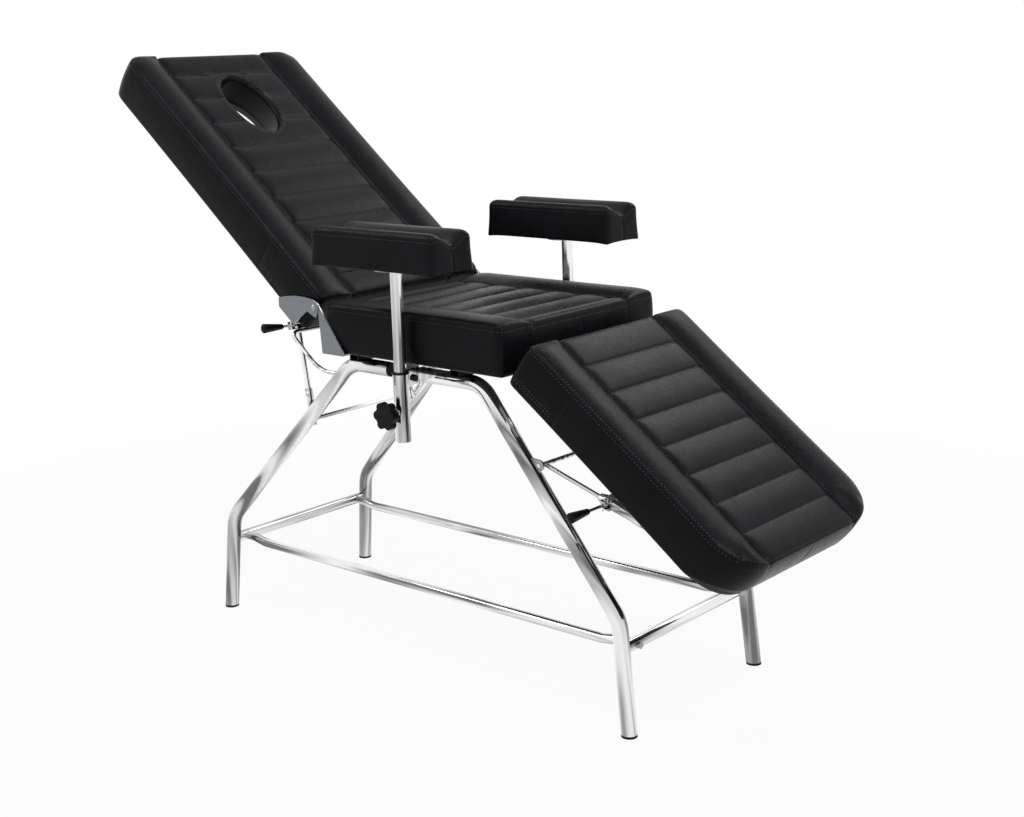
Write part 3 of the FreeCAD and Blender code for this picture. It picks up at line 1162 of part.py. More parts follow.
print("nodes", len(NODES))
print("back stay: angle", round(stay_rest[1], 3), "length", round(stay_rest[0], 2),
      "swing per degree", round(stay_swing, 5), "stroke per degree", round(stay_stroke, 5))
print("leg stay: angle", round(prop_rest[1], 3), "length", round(prop_rest[0], 2),
      "swing per degree", round(prop_swing, 5), "stroke per degree", round(prop_stroke, 5))
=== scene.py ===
import math

import bmesh
import bpy
import numpy as np
from mathutils import Matrix, Vector
from mathutils.bvhtree import BVHTree


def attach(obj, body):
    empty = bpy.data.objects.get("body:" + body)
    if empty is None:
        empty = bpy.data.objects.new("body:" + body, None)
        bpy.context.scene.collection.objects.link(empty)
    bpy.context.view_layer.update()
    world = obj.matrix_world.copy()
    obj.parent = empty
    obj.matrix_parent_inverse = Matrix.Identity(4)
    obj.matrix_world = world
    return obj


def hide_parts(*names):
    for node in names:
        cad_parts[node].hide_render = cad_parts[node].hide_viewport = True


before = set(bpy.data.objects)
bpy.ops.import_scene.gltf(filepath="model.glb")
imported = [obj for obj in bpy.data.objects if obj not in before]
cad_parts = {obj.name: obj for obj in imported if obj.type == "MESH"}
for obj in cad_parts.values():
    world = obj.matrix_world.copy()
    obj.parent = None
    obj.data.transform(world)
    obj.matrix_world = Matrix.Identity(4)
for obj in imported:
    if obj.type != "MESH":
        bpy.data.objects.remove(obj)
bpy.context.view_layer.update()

# Bent frame: two legs at each end, each one drawn steel tube with a knee and a shoulder, and
# two cross tubes and two stretchers between them. All of it is bright nickel and chrome
# plate, so it mirrors the room, with a faint haze from polishing and handling.


def linear(code):
    """A colour written as sRGB hex, turned to the linear values that shaders take."""
    parts = [int(code[place:place + 2], 16) / 255 for place in (1, 3, 5)]
    shares = [part / 12.92 if part <= 0.04045 else ((part + 0.055) / 1.055) ** 2.4
              for part in parts]
    return shares + [1.0]


def add_node(tree, kind, inputs=None, **settings):
    """A shader node with its settings, its input values and its links."""
    node = tree.nodes.new(kind)
    for name, value in settings.items():
        setattr(node, name, value)
    for name, value in (inputs or {}).items():
        if isinstance(value, bpy.types.NodeSocket):
            tree.links.new(value, node.inputs[name])
        else:
            node.inputs[name].default_value = value
    return node


def start_material(name):
    """A material with its tree, its surface shader and the object's own coordinates."""
    material = bpy.data.materials.new(name)
    material.use_nodes = True
    tree = material.node_tree
    surface = tree.nodes["Principled BSDF"]
    place = add_node(tree, "ShaderNodeTexCoord").outputs["Object"]
    return material, tree, surface, place


def finish_nodes(material, names):
    """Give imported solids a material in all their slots."""
    for name in names:
        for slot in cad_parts[name].material_slots:
            slot.material = material


# Chrome plate: a near mirror whose colour is painted with soft dark and light streaks along each
# tube, a painted reflection of the room, and hazed a little by handling.
PAINTED_REFLECTION_STREAKS = {
    "legs": ((2.5, 75.0, 2.5), [
        "near_head_leg", "far_head_leg", "near_foot_leg", "far_foot_leg", "leg_stay_fork",
        "near_back_stay_rod", "far_back_stay_rod"]),
    "upright": ((60.0, 60.0, 3.0), [
        "near_armrest_post", "far_armrest_post", "near_post_bracket", "far_post_bracket"]),
    "lengthwise": ((3.0, 70.0, 70.0), ["near_stretcher", "far_stretcher", "leg_lock_housing",
                                       "leg_guide_housing"]),
    "crosswise": ((70.0, 3.0, 70.0), [
        "head_cross_tube", "foot_cross_tube", "back_stop_hoop", "back_stay_shaft", "leg_stay_shaft",
        "back_stay_guides", "back_release_lever", "leg_release_lever", "back_release_head"])}
for direction, (stretch, names) in PAINTED_REFLECTION_STREAKS.items():
    chrome, tree, surface, place = start_material("chrome_plate_" + direction)
    drawn = add_node(tree, "ShaderNodeMapping", {"Vector": place, "Scale": stretch})
    painted_reflection_streak = add_node(tree, "ShaderNodeTexNoise", {"Vector": drawn.outputs["Vector"], "Scale": 1.0,
                                                   "Detail": 1.5, "Distortion": 0.4})
    # Painted reflection: the stretched noise bands the chrome's colour from dark grey to near white
    # along each tube.
    shade = add_node(tree, "ShaderNodeValToRGB", {"Fac": painted_reflection_streak.outputs["Fac"]})
    shade.color_ramp.elements[0].position = 0.36
    shade.color_ramp.elements[0].color = linear("#6e6f72")
    shade.color_ramp.elements[1].position = 0.62
    shade.color_ramp.elements[1].color = linear("#f1f1f3")
    middle = shade.color_ramp.elements.new(0.47)
    middle.color = linear("#c2c1c0")
    haze = add_node(tree, "ShaderNodeTexNoise", {"Vector": place, "Scale": 16.0, "Detail": 4.0})
    roughness = add_node(tree, "ShaderNodeMapRange", {
        "Value": haze.outputs["Fac"], "From Min": 0.35, "From Max": 0.75,
        "To Min": 0.08, "To Max": 0.17})
    tree.links.new(shade.outputs["Color"], surface.inputs["Base Color"])
    tree.links.new(roughness.outputs["Result"], surface.inputs["Roughness"])
    surface.inputs["Metallic"].default_value = 1.0
    finish_nodes(chrome, names)

# Small fittings: bolts, rivets, butt hinges, lugs, ears, armrest tabs and swivel plates,
# stamped or turned from mild steel and zinc plated, a little duller than the tubes.
zinc_fitting, tree, surface, place = start_material("zinc_fitting")
mottle = add_node(tree, "ShaderNodeTexNoise", {"Vector": place, "Scale": 45.0, "Detail": 3.0})
shade = add_node(tree, "ShaderNodeValToRGB", {"Fac": mottle.outputs["Fac"]})
shade.color_ramp.elements[0].position = 0.3
shade.color_ramp.elements[0].color = linear("#8e9195")
shade.color_ramp.elements[1].position = 0.7
shade.color_ramp.elements[1].color = linear("#b7babd")
roughness = add_node(tree, "ShaderNodeMapRange", {"Value": mottle.outputs["Fac"],
                                                  "To Min": 0.22, "To Max": 0.34})
tree.links.new(shade.outputs["Color"], surface.inputs["Base Color"])
tree.links.new(roughness.outputs["Result"], surface.inputs["Roughness"])
surface.inputs["Metallic"].default_value = 1.0
finish_nodes(zinc_fitting, [
    "hinge_rivets", "stretcher_bolts", "bearer_bolts", "leg_hinge_fixed_leaves", "leg_hinge_pins",
    "leg_hinge_moving_leaves", "armrest_tabs", "leg_stay_lugs", "back_stay_ears", "leg_stay_ears",
    "near_armrest_plate", "far_armrest_plate"])

# Hinge plates of the back: 3 mm steel, laser cut, their faces left a satin grey with a fine grain
# from the finishing belt, and their cut edges painted pale as a painted highlight.
belt_steel, tree, surface, place = start_material("belt_finished_steel")
stretched = add_node(tree, "ShaderNodeMapping", {"Vector": place, "Scale": (60.0, 60.0, 1400.0)})
grain = add_node(tree, "ShaderNodeTexNoise", {"Vector": stretched.outputs["Vector"],
                                              "Scale": 1.0, "Detail": 2.0})
shade = add_node(tree, "ShaderNodeValToRGB", {"Fac": grain.outputs["Fac"]})
shade.color_ramp.elements[0].color = linear("#72767b")
shade.color_ramp.elements[1].color = linear("#8d9196")
turned = add_node(tree, "ShaderNodeSeparateXYZ",
                  {"Vector": add_node(tree, "ShaderNodeTexCoord").outputs["Normal"]})
# Painted highlight: faces not turned along Y, which are the plates' cut edges, take a pale grey in
# place of the grain colour.
facing = add_node(tree, "ShaderNodeMath", {0: turned.outputs["Y"]}, operation="ABSOLUTE")
painted_edge_highlight_mask = add_node(tree, "ShaderNodeMath", {0: facing.outputs["Value"], 1: 0.5}, operation="LESS_THAN")
face = add_node(tree, "ShaderNodeMixRGB", {"Fac": painted_edge_highlight_mask.outputs["Value"],
                                           "Color1": shade.outputs["Color"],
                                           "Color2": linear("#d4d6d8")})
tree.links.new(face.outputs["Color"], surface.inputs["Base Color"])
relief = add_node(tree, "ShaderNodeBump", {"Height": grain.outputs["Fac"],
                                           "Strength": 0.12, "Distance": 0.0004})
tree.links.new(relief.outputs["Normal"], surface.inputs["Normal"])
surface.inputs["Metallic"].default_value = 0.85
surface.inputs["Roughness"].default_value = 0.42
finish_nodes(belt_steel, ["near_seat_plate", "far_seat_plate", "near_back_plate", "far_back_plate"])

# Bearers under the seat and the bolts of the armrest tabs: square steel tube and screws in
# black stove enamel, satin, with the light orange peel that a thick coat leaves.
black_enamel, tree, surface, place = start_material("black_enamel")
peel = add_node(tree, "ShaderNodeTexNoise", {"Vector": place, "Scale": 420.0, "Detail": 2.0})
relief = add_node(tree, "ShaderNodeBump", {"Height": peel.outputs["Fac"],
                                           "Strength": 0.15, "Distance": 0.0004})
tree.links.new(relief.outputs["Normal"], surface.inputs["Normal"])
surface.inputs["Base Color"].default_value = linear("#101011")
surface.inputs["Roughness"].default_value = 0.35
surface.inputs["Specular IOR Level"].default_value = 0.2
finish_nodes(black_enamel, ["head_bearer", "foot_bearer", "armrest_tab_bolts"])

# Foot caps, rail plugs, post collars, lever grips and clamp knobs: polypropylene moulded in
# black, with the fine spark texture of the mould.
moulded_black, tree, surface, place = start_material("moulded_polypropylene")
spark = add_node(tree, "ShaderNodeTexNoise", {"Vector": place, "Scale": 1500.0, "Detail": 2.0})
relief = add_node(tree, "ShaderNodeBump", {"Height": spark.outputs["Fac"],
                                           "Strength": 0.25, "Distance": 0.0003})
scuff = add_node(tree, "ShaderNodeTexNoise", {"Vector": place, "Scale": 60.0, "Detail": 5.0})
roughness = add_node(tree, "ShaderNodeMapRange", {"Value": scuff.outputs["Fac"],
                                                  "To Min": 0.3, "To Max": 0.5})
tree.links.new(relief.outputs["Normal"], surface.inputs["Normal"])
tree.links.new(roughness.outputs["Result"], surface.inputs["Roughness"])
surface.inputs["Base Color"].default_value = linear("#0a0a0b")
surface.inputs["Specular IOR Level"].default_value = 0.12
finish_nodes(moulded_black, [
    "foot_caps", "rail_plugs", "sleeve_collars", "back_lever_grip", "leg_lever_grip",
    "near_star_knob", "far_star_knob"])

# Boards: birch plywood stained black before upholstery, its long grain along the chair, so
# only a hint of the veneer's figure shows from below.
stained_plywood, tree, surface, place = start_material("black_stained_plywood")
stretched = add_node(tree, "ShaderNodeMapping", {"Vector": place, "Scale": (6.0, 90.0, 260.0)})
figure = add_node(tree, "ShaderNodeTexNoise", {"Vector": stretched.outputs["Vector"], "Scale": 1.0,
                                               "Detail": 6.0, "Distortion": 0.6})
shade = add_node(tree, "ShaderNodeValToRGB", {"Fac": figure.outputs["Fac"]})
shade.color_ramp.elements[0].color = linear("#1a1715")
shade.color_ramp.elements[1].color = linear("#322c28")
relief = add_node(tree, "ShaderNodeBump", {"Height": figure.outputs["Fac"],
                                           "Strength": 0.2, "Distance": 0.0005})
tree.links.new(shade.outputs["Color"], surface.inputs["Base Color"])
tree.links.new(relief.outputs["Normal"], surface.inputs["Normal"])
surface.inputs["Roughness"].default_value = 0.6
finish_nodes(stained_plywood, ["seat_board", "back_board", "leg_board", "near_armrest_board",
                               "far_armrest_board"])

# Leatherette and thread: soft black vinyl on a knitted back, pulled tight over foam. The
# embossed grain is about 1 mm across, and pulled or rubbed places shine a little more.
leatherette, tree, surface, place = start_material("black_leatherette")
pebble = add_node(tree, "ShaderNodeTexVoronoi", {"Vector": place, "Scale": 800.0})
cloud = add_node(tree, "ShaderNodeTexNoise", {"Vector": place, "Scale": 11.0, "Detail": 5.0,
                                              "Roughness": 0.62})
creased = add_node(tree, "ShaderNodeMapping", {"Vector": place, "Rotation": (0.4, 0.7, 0.5),
                                               "Scale": (34.0, 150.0, 52.0)})
crease = add_node(tree, "ShaderNodeTexNoise", {"Vector": creased.outputs["Vector"], "Scale": 1.0,
                                               "Detail": 5.0, "Roughness": 0.65, "Distortion": 1.2})
shade = add_node(tree, "ShaderNodeValToRGB", {"Fac": cloud.outputs["Fac"]})
shade.color_ramp.elements[0].position = 0.3
shade.color_ramp.elements[0].color = linear("#121315")
shade.color_ramp.elements[1].position = 0.7
shade.color_ramp.elements[1].color = linear("#1a1b1e")
worn = add_node(tree, "ShaderNodeMath", {0: cloud.outputs["Fac"], 1: crease.outputs["Fac"]},
                operation="MULTIPLY")
roughness = add_node(tree, "ShaderNodeMapRange", {"Value": worn.outputs["Value"], "From Min": 0.14,
                                                  "From Max": 0.38, "To Min": 0.22, "To Max": 0.36})
fine = add_node(tree, "ShaderNodeBump", {"Height": pebble.outputs["Distance"], "Strength": 0.2,
                                         "Distance": 0.0006})
medium = add_node(tree, "ShaderNodeBump", {"Height": crease.outputs["Fac"], "Strength": 0.26,
                                           "Distance": 0.002, "Normal": fine.outputs["Normal"]})
coarse = add_node(tree, "ShaderNodeBump", {"Height": cloud.outputs["Fac"], "Strength": 0.3,
                                           "Distance": 0.004, "Normal": medium.outputs["Normal"]})
tree.links.new(shade.outputs["Color"], surface.inputs["Base Color"])
tree.links.new(roughness.outputs["Result"], surface.inputs["Roughness"])
tree.links.new(coarse.outputs["Normal"], surface.inputs["Normal"])
surface.inputs["Specular IOR Level"].default_value = 0.06

thread, tree, surface, place = start_material("bonded_polyester_thread")
twist = add_node(tree, "ShaderNodeTexWave", {"Vector": place, "Scale": 400.0})
relief = add_node(tree, "ShaderNodeBump", {"Height": twist.outputs["Fac"],
                                           "Strength": 0.3, "Distance": 0.0002})
tree.links.new(relief.outputs["Normal"], surface.inputs["Normal"])
surface.inputs["Base Color"].default_value = linear("#4b4d51")
surface.inputs["Roughness"].default_value = 0.45

# Seat cushion: foam on a board under a sewn cover, with two side bolsters and a lower middle
# panel that is quilted across in six channels. The cover is made as one closed skin whose
# rows of points follow the seams, and is then blown up a little as cloth between them.


def spread(marks, step):
    """Places from the first mark to the last, at most a step apart, with every mark kept."""
    marks = sorted({round(mark, 6) for mark in marks})
    places = marks[:1]
    for low, high in zip(marks, marks[1:]):
        parts = max(1, math.ceil((high - low) / step - 1e-6))
        places += [low + (high - low) * count / parts for count in range(1, parts + 1)]
    return np.array(places)


def wrap_skin(name, xs, ys, plan, top, flank, base_height, base_inset, window=None, widen=None):
    """A closed skin on a grid of seams: a top, sides that follow it down, an under side and,
    where a window is given, the lining of a hole that widens down by what widen gives. It
    returns the object, the top's grid and the rows of the sides."""
    across, along = np.meshgrid(ys, xs)
    flat_x, flat_y = plan(along, across)
    heights = top(along, across)
    count_x, count_y = along.shape
    keep = np.ones(along.shape, bool)
    if window is not None:
        low_x, high_x, low_y, high_y = window
        keep = ~((along > low_x + 1e-6) & (along < high_x - 1e-6) & (across > low_y + 1e-6)
                 & (across < high_y - 1e-6))
    points = []
    index = -np.ones(along.shape, int)
    for i in range(count_x):
        for j in range(count_y):
            if keep[i, j]:
                index[i, j] = len(points)
                points.append((flat_x[i, j], flat_y[i, j], heights[i, j]))
    faces = []

    def cell_open(i, j):
        if window is None:
            return False
        middle_x, middle_y = (xs[i] + xs[i + 1]) / 2, (ys[j] + ys[j + 1]) / 2
        return window[0] < middle_x < window[1] and window[2] < middle_y < window[3]

    for i in range(count_x - 1):
        for j in range(count_y - 1):
            if not cell_open(i, j):
                faces.append((index[i, j], index[i + 1, j], index[i + 1, j + 1], index[i, j + 1]))
    rim = [(i, 0) for i in range(count_x)] + [(count_x - 1, j) for j in range(1, count_y)]
    rim += [(i, count_y - 1) for i in range(count_x - 2, -1, -1)]
    rim += [(0, j) for j in range(count_y - 2, 0, -1)]
    edge = np.array([points[index[i, j]] for i, j in rim])
    run = np.roll(edge[:, :2], -1, 0) - np.roll(edge[:, :2], 1, 0)
    normal = np.stack([run[:, 1], -run[:, 0]], 1) / np.linalg.norm(run, axis=1)[:, None]
    above = [index[i, j] for i, j in rim]
    levels = [flank(edge[k, 2], normal[k], edge[k]) for k in range(len(rim))]
    side_rows = []
    for level in range(len(levels[0])):
        row = []
        for k in range(len(rim)):
            out, height = levels[k][level]
            row.append(len(points))
            points.append((edge[k, 0] + normal[k, 0] * out, edge[k, 1] + normal[k, 1] * out,
                           height))
        for k in range(len(rim)):
            ahead = (k + 1) % len(rim)
            faces.append((above[k], row[k], row[ahead], above[ahead]))
        above = row
        side_rows.append(row)
    centre = (edge[:, :2].max(0) + edge[:, :2].min(0)) / 2
    reach = (edge[:, :2].max(0) - edge[:, :2].min(0)) / 2
    shrink = (reach - base_inset) / reach
    under = -np.ones(along.shape, int)
    for k, (i, j) in enumerate(rim):
        under[i, j] = above[k]
    for i in range(count_x):
        for j in range(count_y):
            if keep[i, j] and under[i, j] < 0:
                under[i, j] = len(points)
                spot = centre + (np.array([flat_x[i, j], flat_y[i, j]]) - centre) * shrink
                if window is not None:
                    spot = spot + widen(xs[i], ys[j])
                points.append((spot[0], spot[1], base_height))
    if window is not None:
        grow_x = [i for i in range(count_x) if window[0] - 1e-6 <= xs[i] <= window[1] + 1e-6]
        grow_y = [j for j in range(count_y) if window[2] - 1e-6 <= ys[j] <= window[3] + 1e-6]
        loop = [(i, grow_y[0]) for i in grow_x] + [(grow_x[-1], j) for j in grow_y[1:]]
        loop += [(i, grow_y[-1]) for i in grow_x[-2::-1]]
        loop += [(grow_x[0], j) for j in grow_y[-2:0:-1]]
        wide = [widen(xs[i], ys[j]) for i, j in loop]
        for (i, j), shift in zip(loop, wide):
            points[under[i, j]] = (flat_x[i, j] + shift[0], flat_y[i, j] + shift[1], base_height)
        above = [index[i, j] for i, j in loop]
        for share in (0.04, 0.1, 0.25, 0.45, 0.7, 0.93):
            row = []
            for (i, j), shift in zip(loop, wide):
                out = share - 0.12 * math.sin(math.pi * share)
                row.append(len(points))
                points.append((flat_x[i, j] + shift[0] * out, flat_y[i, j] + shift[1] * out,
                               heights[i, j] + (base_height - heights[i, j]) * share))
            for k in range(len(loop)):
                ahead = (k + 1) % len(loop)
                faces.append((above[k], above[ahead], row[ahead], row[k]))
            above = row
        for k in range(len(loop)):
            ahead = (k + 1) % len(loop)
            faces.append((above[k], above[ahead], under[loop[ahead]], under[loop[k]]))
    for i in range(count_x - 1):
        for j in range(count_y - 1):
            if not cell_open(i, j):
                faces.append((under[i, j], under[i, j + 1], under[i + 1, j + 1], under[i + 1, j]))
    mesh = bpy.data.meshes.new(name)
    mesh.from_pydata([tuple(map(float, point)) for point in points], [],
                     [tuple(map(int, face)) for face in faces])
    piece = bpy.data.objects.new(name, mesh)
    bpy.context.scene.collection.objects.link(piece)
    return piece, index, side_rows


def select_only(piece):
    """Make one object the only selected and the active one."""
    bpy.ops.object.select_all(action="DESELECT")
    piece.select_set(True)
    bpy.context.view_layer.objects.active = piece


def blow_up(piece, held, caps, pressure=4.0, steps=20):
    """Run the skin as cloth under air pressure between its held seams, with each point's
    travel capped, and keep the result in the mesh."""
    rest = np.array([vertex.co for vertex in piece.data.vertices])
    group = piece.vertex_groups.new(name="held")
    group.add([int(i) for i in np.flatnonzero(held)], 1.0, "REPLACE")
    cloth = piece.modifiers.new("cover", "CLOTH")
    cloth.settings.quality = 5
    cloth.settings.mass = 0.4
    cloth.settings.tension_stiffness = 18
    cloth.settings.compression_stiffness = 18
    cloth.settings.shear_stiffness = 8
    cloth.settings.bending_stiffness = 2.5
    cloth.settings.vertex_group_mass = "held"
    cloth.settings.use_pressure = True
    cloth.settings.uniform_pressure_force = pressure
    cloth.settings.effector_weights.gravity = 0.0
    cloth.collision_settings.use_collision = False
    cloth.point_cache.frame_start = 1
    cloth.point_cache.frame_end = steps
    scene = bpy.context.scene
    for step in range(1, steps + 1):
        scene.frame_set(step)
    select_only(piece)
    bpy.ops.object.modifier_apply(modifier="cover")
    piece.vertex_groups.clear()
    blown = np.array([vertex.co for vertex in piece.data.vertices])
    travel = blown - rest
    length = np.linalg.norm(travel, axis=1)
    travel *= (caps * np.tanh(length / caps) / np.maximum(length, 1e-9))[:, None]
    piece.data.vertices.foreach_set("co", (rest + travel).ravel())
    scene.frame_set(1)


def smooth_skin(piece):
    """Subdivide the skin once and shade it smooth."""
    select_only(piece)
    rounded = piece.modifiers.new("rounded", "SUBSURF")
    rounded.levels = 1
    rounded.render_levels = 1
    bpy.ops.object.modifier_apply(modifier="rounded")
    bpy.ops.object.shade_smooth()


def ease(value):
    """A quarter-round rise from 0 to 1."""
    return np.sqrt(np.clip(1 - (1 - np.clip(value, 0, 1)) ** 2, 0, 1))


PAD_HALF = 0.250
INNER_SEAM = 0.1557
EDGE_INSET = 0.003
SEAM_ROWS = (-0.006, -0.0025, 0.0, 0.0025, 0.006)
BOARD_RECESS = 0.0155
FOLD_UNDER = 0.0119
HOLE_BLEND = 0.65
RIB_REACH = 0.038
GROOVE_REACH = 0.0045
THREAD_PITCH = 0.0076


def sew_cushion(name, length, thick, channels, near_round, far_round, toe_round, patch, rib=0.0035,
                wrap=0.0, opening=None):
    """One upholstered section with bolsters, quilted panel and seamed edge, in its own frame:
    X from the end at its hinge, Y across, Z up from the board. Returns the piece and two
    functions that give the cover's plan and its height."""
    half = PAD_HALF - EDGE_INSET
    marks_x = [0, 0.003, 0.008, 0.016, 0.03,
               length - 0.03, length - 0.016, length - 0.008, length - 0.003, length]
    if patch is not None:
        marks_x += [patch - 0.0025, patch, patch + 0.0025]
    for channel in channels:
        marks_x += [channel + shift for shift in SEAM_ROWS]
    marks_y = [-half, -half + 0.003, -half + 0.008, -half + 0.02, -0.02, -0.0025, 0]
    marks_y += [-INNER_SEAM + shift for shift in SEAM_ROWS + (0.016,)]
    if opening:
        hole_x, hole_long, hole_short = opening
        for shift in (0.0, 0.003, 0.007, 0.012, 0.018, 0.026):
            marks_x += [hole_x - hole_long - shift, hole_x + hole_long + shift]
            marks_y += [-hole_short - shift]
    marks_y += [-mark for mark in marks_y]
    xs, ys = spread(marks_x, 0.0115), spread(marks_y, 0.0135)
    xs = xs[np.insert(np.diff(xs) > 0.0011, 0, True)]
    ys = ys[np.insert(np.diff(ys) > 0.0011, 0, True)]
    if opening:
        for low in (hole_x - hole_long, hole_x + hole_long):
            xs[np.argmin(abs(xs - low))] = low
        for low in (-hole_short, hole_short):
            ys[np.argmin(abs(ys - low))] = low

    def past_hole(x, y):
        out_x, out_y = (x - hole_x) / hole_long, y / hole_short
        ring = np.maximum(abs(out_x), abs(out_y))
        blend = np.clip((ring - 1) / HOLE_BLEND, 0, 1)
        blend = blend * blend * (3 - 2 * blend)
        circle = ring / np.maximum(np.hypot(out_x, out_y), 1e-9)
        factor = circle * (1 - blend) + blend
        near = ring < 1 + HOLE_BLEND
        return (np.where(near, hole_x + out_x * factor * hole_long, x),
                np.where(near, out_y * factor * hole_short, y))

    def outline(x, y):
        x, y = np.array(x, float), np.array(y, float)
        for corner, towards, radius in ((near_round, -1, near_round),
                                        (length - far_round, 1, far_round)):
            over = (x - corner) * towards
            side = abs(y) - (half - radius)
            inside = (over > 0) & (side > 0)
            scale = np.maximum(over, side) / np.maximum(np.hypot(over, side), 1e-9)
            x = np.where(inside, corner + towards * over * scale, x)
            y = np.where(inside, np.sign(y) * (half - radius + side * scale), y)
        x = 0.0015 + (length - 0.003) * x / length
        return x, y * (1 - 0.003 / PAD_HALF * (1 - ((2 * x - length) / length) ** 2))

    def plan(x, y):
        if opening:
            x, y = past_hole(np.array(x, float), np.array(y, float))
        return outline(x, y)

    def top(x, y):
        real_x, real_y = past_hole(x, y) if opening else (x, y)
        side = abs(real_y)
        share = np.clip((side - INNER_SEAM) / (half - INNER_SEAM), 0, 1)
        bolster = thick - 0.008 * (1 - share) + 0.0115 * (4 * share * (1 - share)) ** 0.8
        inward = INNER_SEAM - side
        panel = thick - 0.010 + 0.008 * ease(inward / 0.018)
        gap = np.min([abs(real_x - channel) for channel in channels], axis=0)
        clear = 1.0
        if opening:
            away = (np.hypot((real_x - hole_x) / hole_long, real_y / hole_short) - 1) * 0.075
            clear = ease((away - 0.008) / 0.03)
        dip = rib * np.clip(1 - gap / RIB_REACH, 0, 1) ** 2.2
        panel = panel - dip * ease(inward / 0.03) * clear
        end = np.minimum(x, length - x)
        bolster = thick - 0.001 + (bolster - thick + 0.001) * ease(end / 0.05)
        panel = panel - 0.0045 * (1 - ease(end / 0.018))
        height = np.where(side >= INNER_SEAM, bolster, panel)
        seam = abs(side - INNER_SEAM)
        height = height - 0.0022 * np.clip(1 - seam / GROOVE_REACH, 0, 1)
        groove = 0.0020 * np.clip(1 - gap / GROOVE_REACH, 0, 1)
        height = height - groove * (inward > -0.001) * clear
        welt = np.minimum(end, half - abs(y))
        height = height - 0.0011 * np.clip(1 - abs(welt - 0.003) / 0.0035, 0, 1) * (wrap == 0)
        height = height - wrap * (1 - ease(welt / 0.012))
        if opening:
            height = (height - 0.010 * (1 - ease(away / 0.014))
                      - 0.0012 * np.clip(1 - abs(away - 0.013) / 0.004, 0, 1))
        return height

    def flank(seam, normal, spot):
        foot = 0.007
        if normal[0] > 0.05:
            foot = 0.007 + (toe_round - 0.007) * min(1.0, (normal[0] - 0.05) / 0.6) ** 0.8
        sewn = 1.0
        if normal[0] > 0.9:
            sewn = abs(spot[1])
        elif abs(normal[1]) > 0.9 and patch is not None:
            sewn = abs(spot[0] - patch)
        tuck = 0.0016 * max(0.0, 1 - sewn / 0.0026)
        sides = [(-0.0004, seam - 0.003), (0.0004, seam - 0.008)]
        drop = seam - 0.008 - foot
        sides += [(-tuck, seam - 0.008 - drop * share)
                  for share in (0.1, 0.25, 0.42, 0.6, 0.8, 1.0)]
        bowed = []
        for out, height in sides:
            middle = 2 * (height - foot) / (seam - foot) - 1
            bowed.append((out + 0.003 * (1 - middle ** 2), height))
        end = math.acos(1 - min(1.0, 0.0105 / foot))
        arc = [(-foot * (1 - math.cos(end * share)), foot * (1 - math.sin(end * share)))
               for share in (0.25, 0.5, 0.75, 1.0)]
        return bowed + arc + [(0.0002 - FOLD_UNDER, arc[-1][1]), (-FOLD_UNDER, BOARD_RECESS)]

    def widen(x, y):
        out = np.array([(x - hole_x) / hole_long, y / hole_short])
        left = np.clip(1 - (abs(out).max() - 1) / HOLE_BLEND, 0, 1)
        return 0.0165 * left * out / max(np.hypot(*out), 1e-9)

    window = (hole_x - hole_long, hole_x + hole_long, -hole_short, hole_short) if opening else None
    piece, index, side_rows = wrap_skin(name, xs, ys, plan, top, flank, BOARD_RECESS,
                                        FOLD_UNDER, window, widen)
    along, across = np.meshgrid(xs, ys, indexing="ij")
    held = np.ones(len(piece.data.vertices), bool)
    caps = np.full(len(held), 0.003)
    side = abs(across)
    gap = np.min([abs(along - channel) for channel in channels], axis=0)
    end = np.minimum(along, length - along)
    seam = (abs(side - INNER_SEAM) < 0.0035) | ((gap < 0.0035) & (side < INNER_SEAM))
    seam |= (end < 0.009) | (half - side < 0.009)
    if opening:
        seam |= np.maximum(abs((along - hole_x) / hole_long), abs(across / hole_short)) < 1.7
    free = (index >= 0) & ~seam
    held[index[free]] = False
    for row in side_rows[2:6]:
        held[row] = False
        caps[row] = 0.0012
    blow_up(piece, held, caps)
    smooth_skin(piece)
    return piece, outline, top


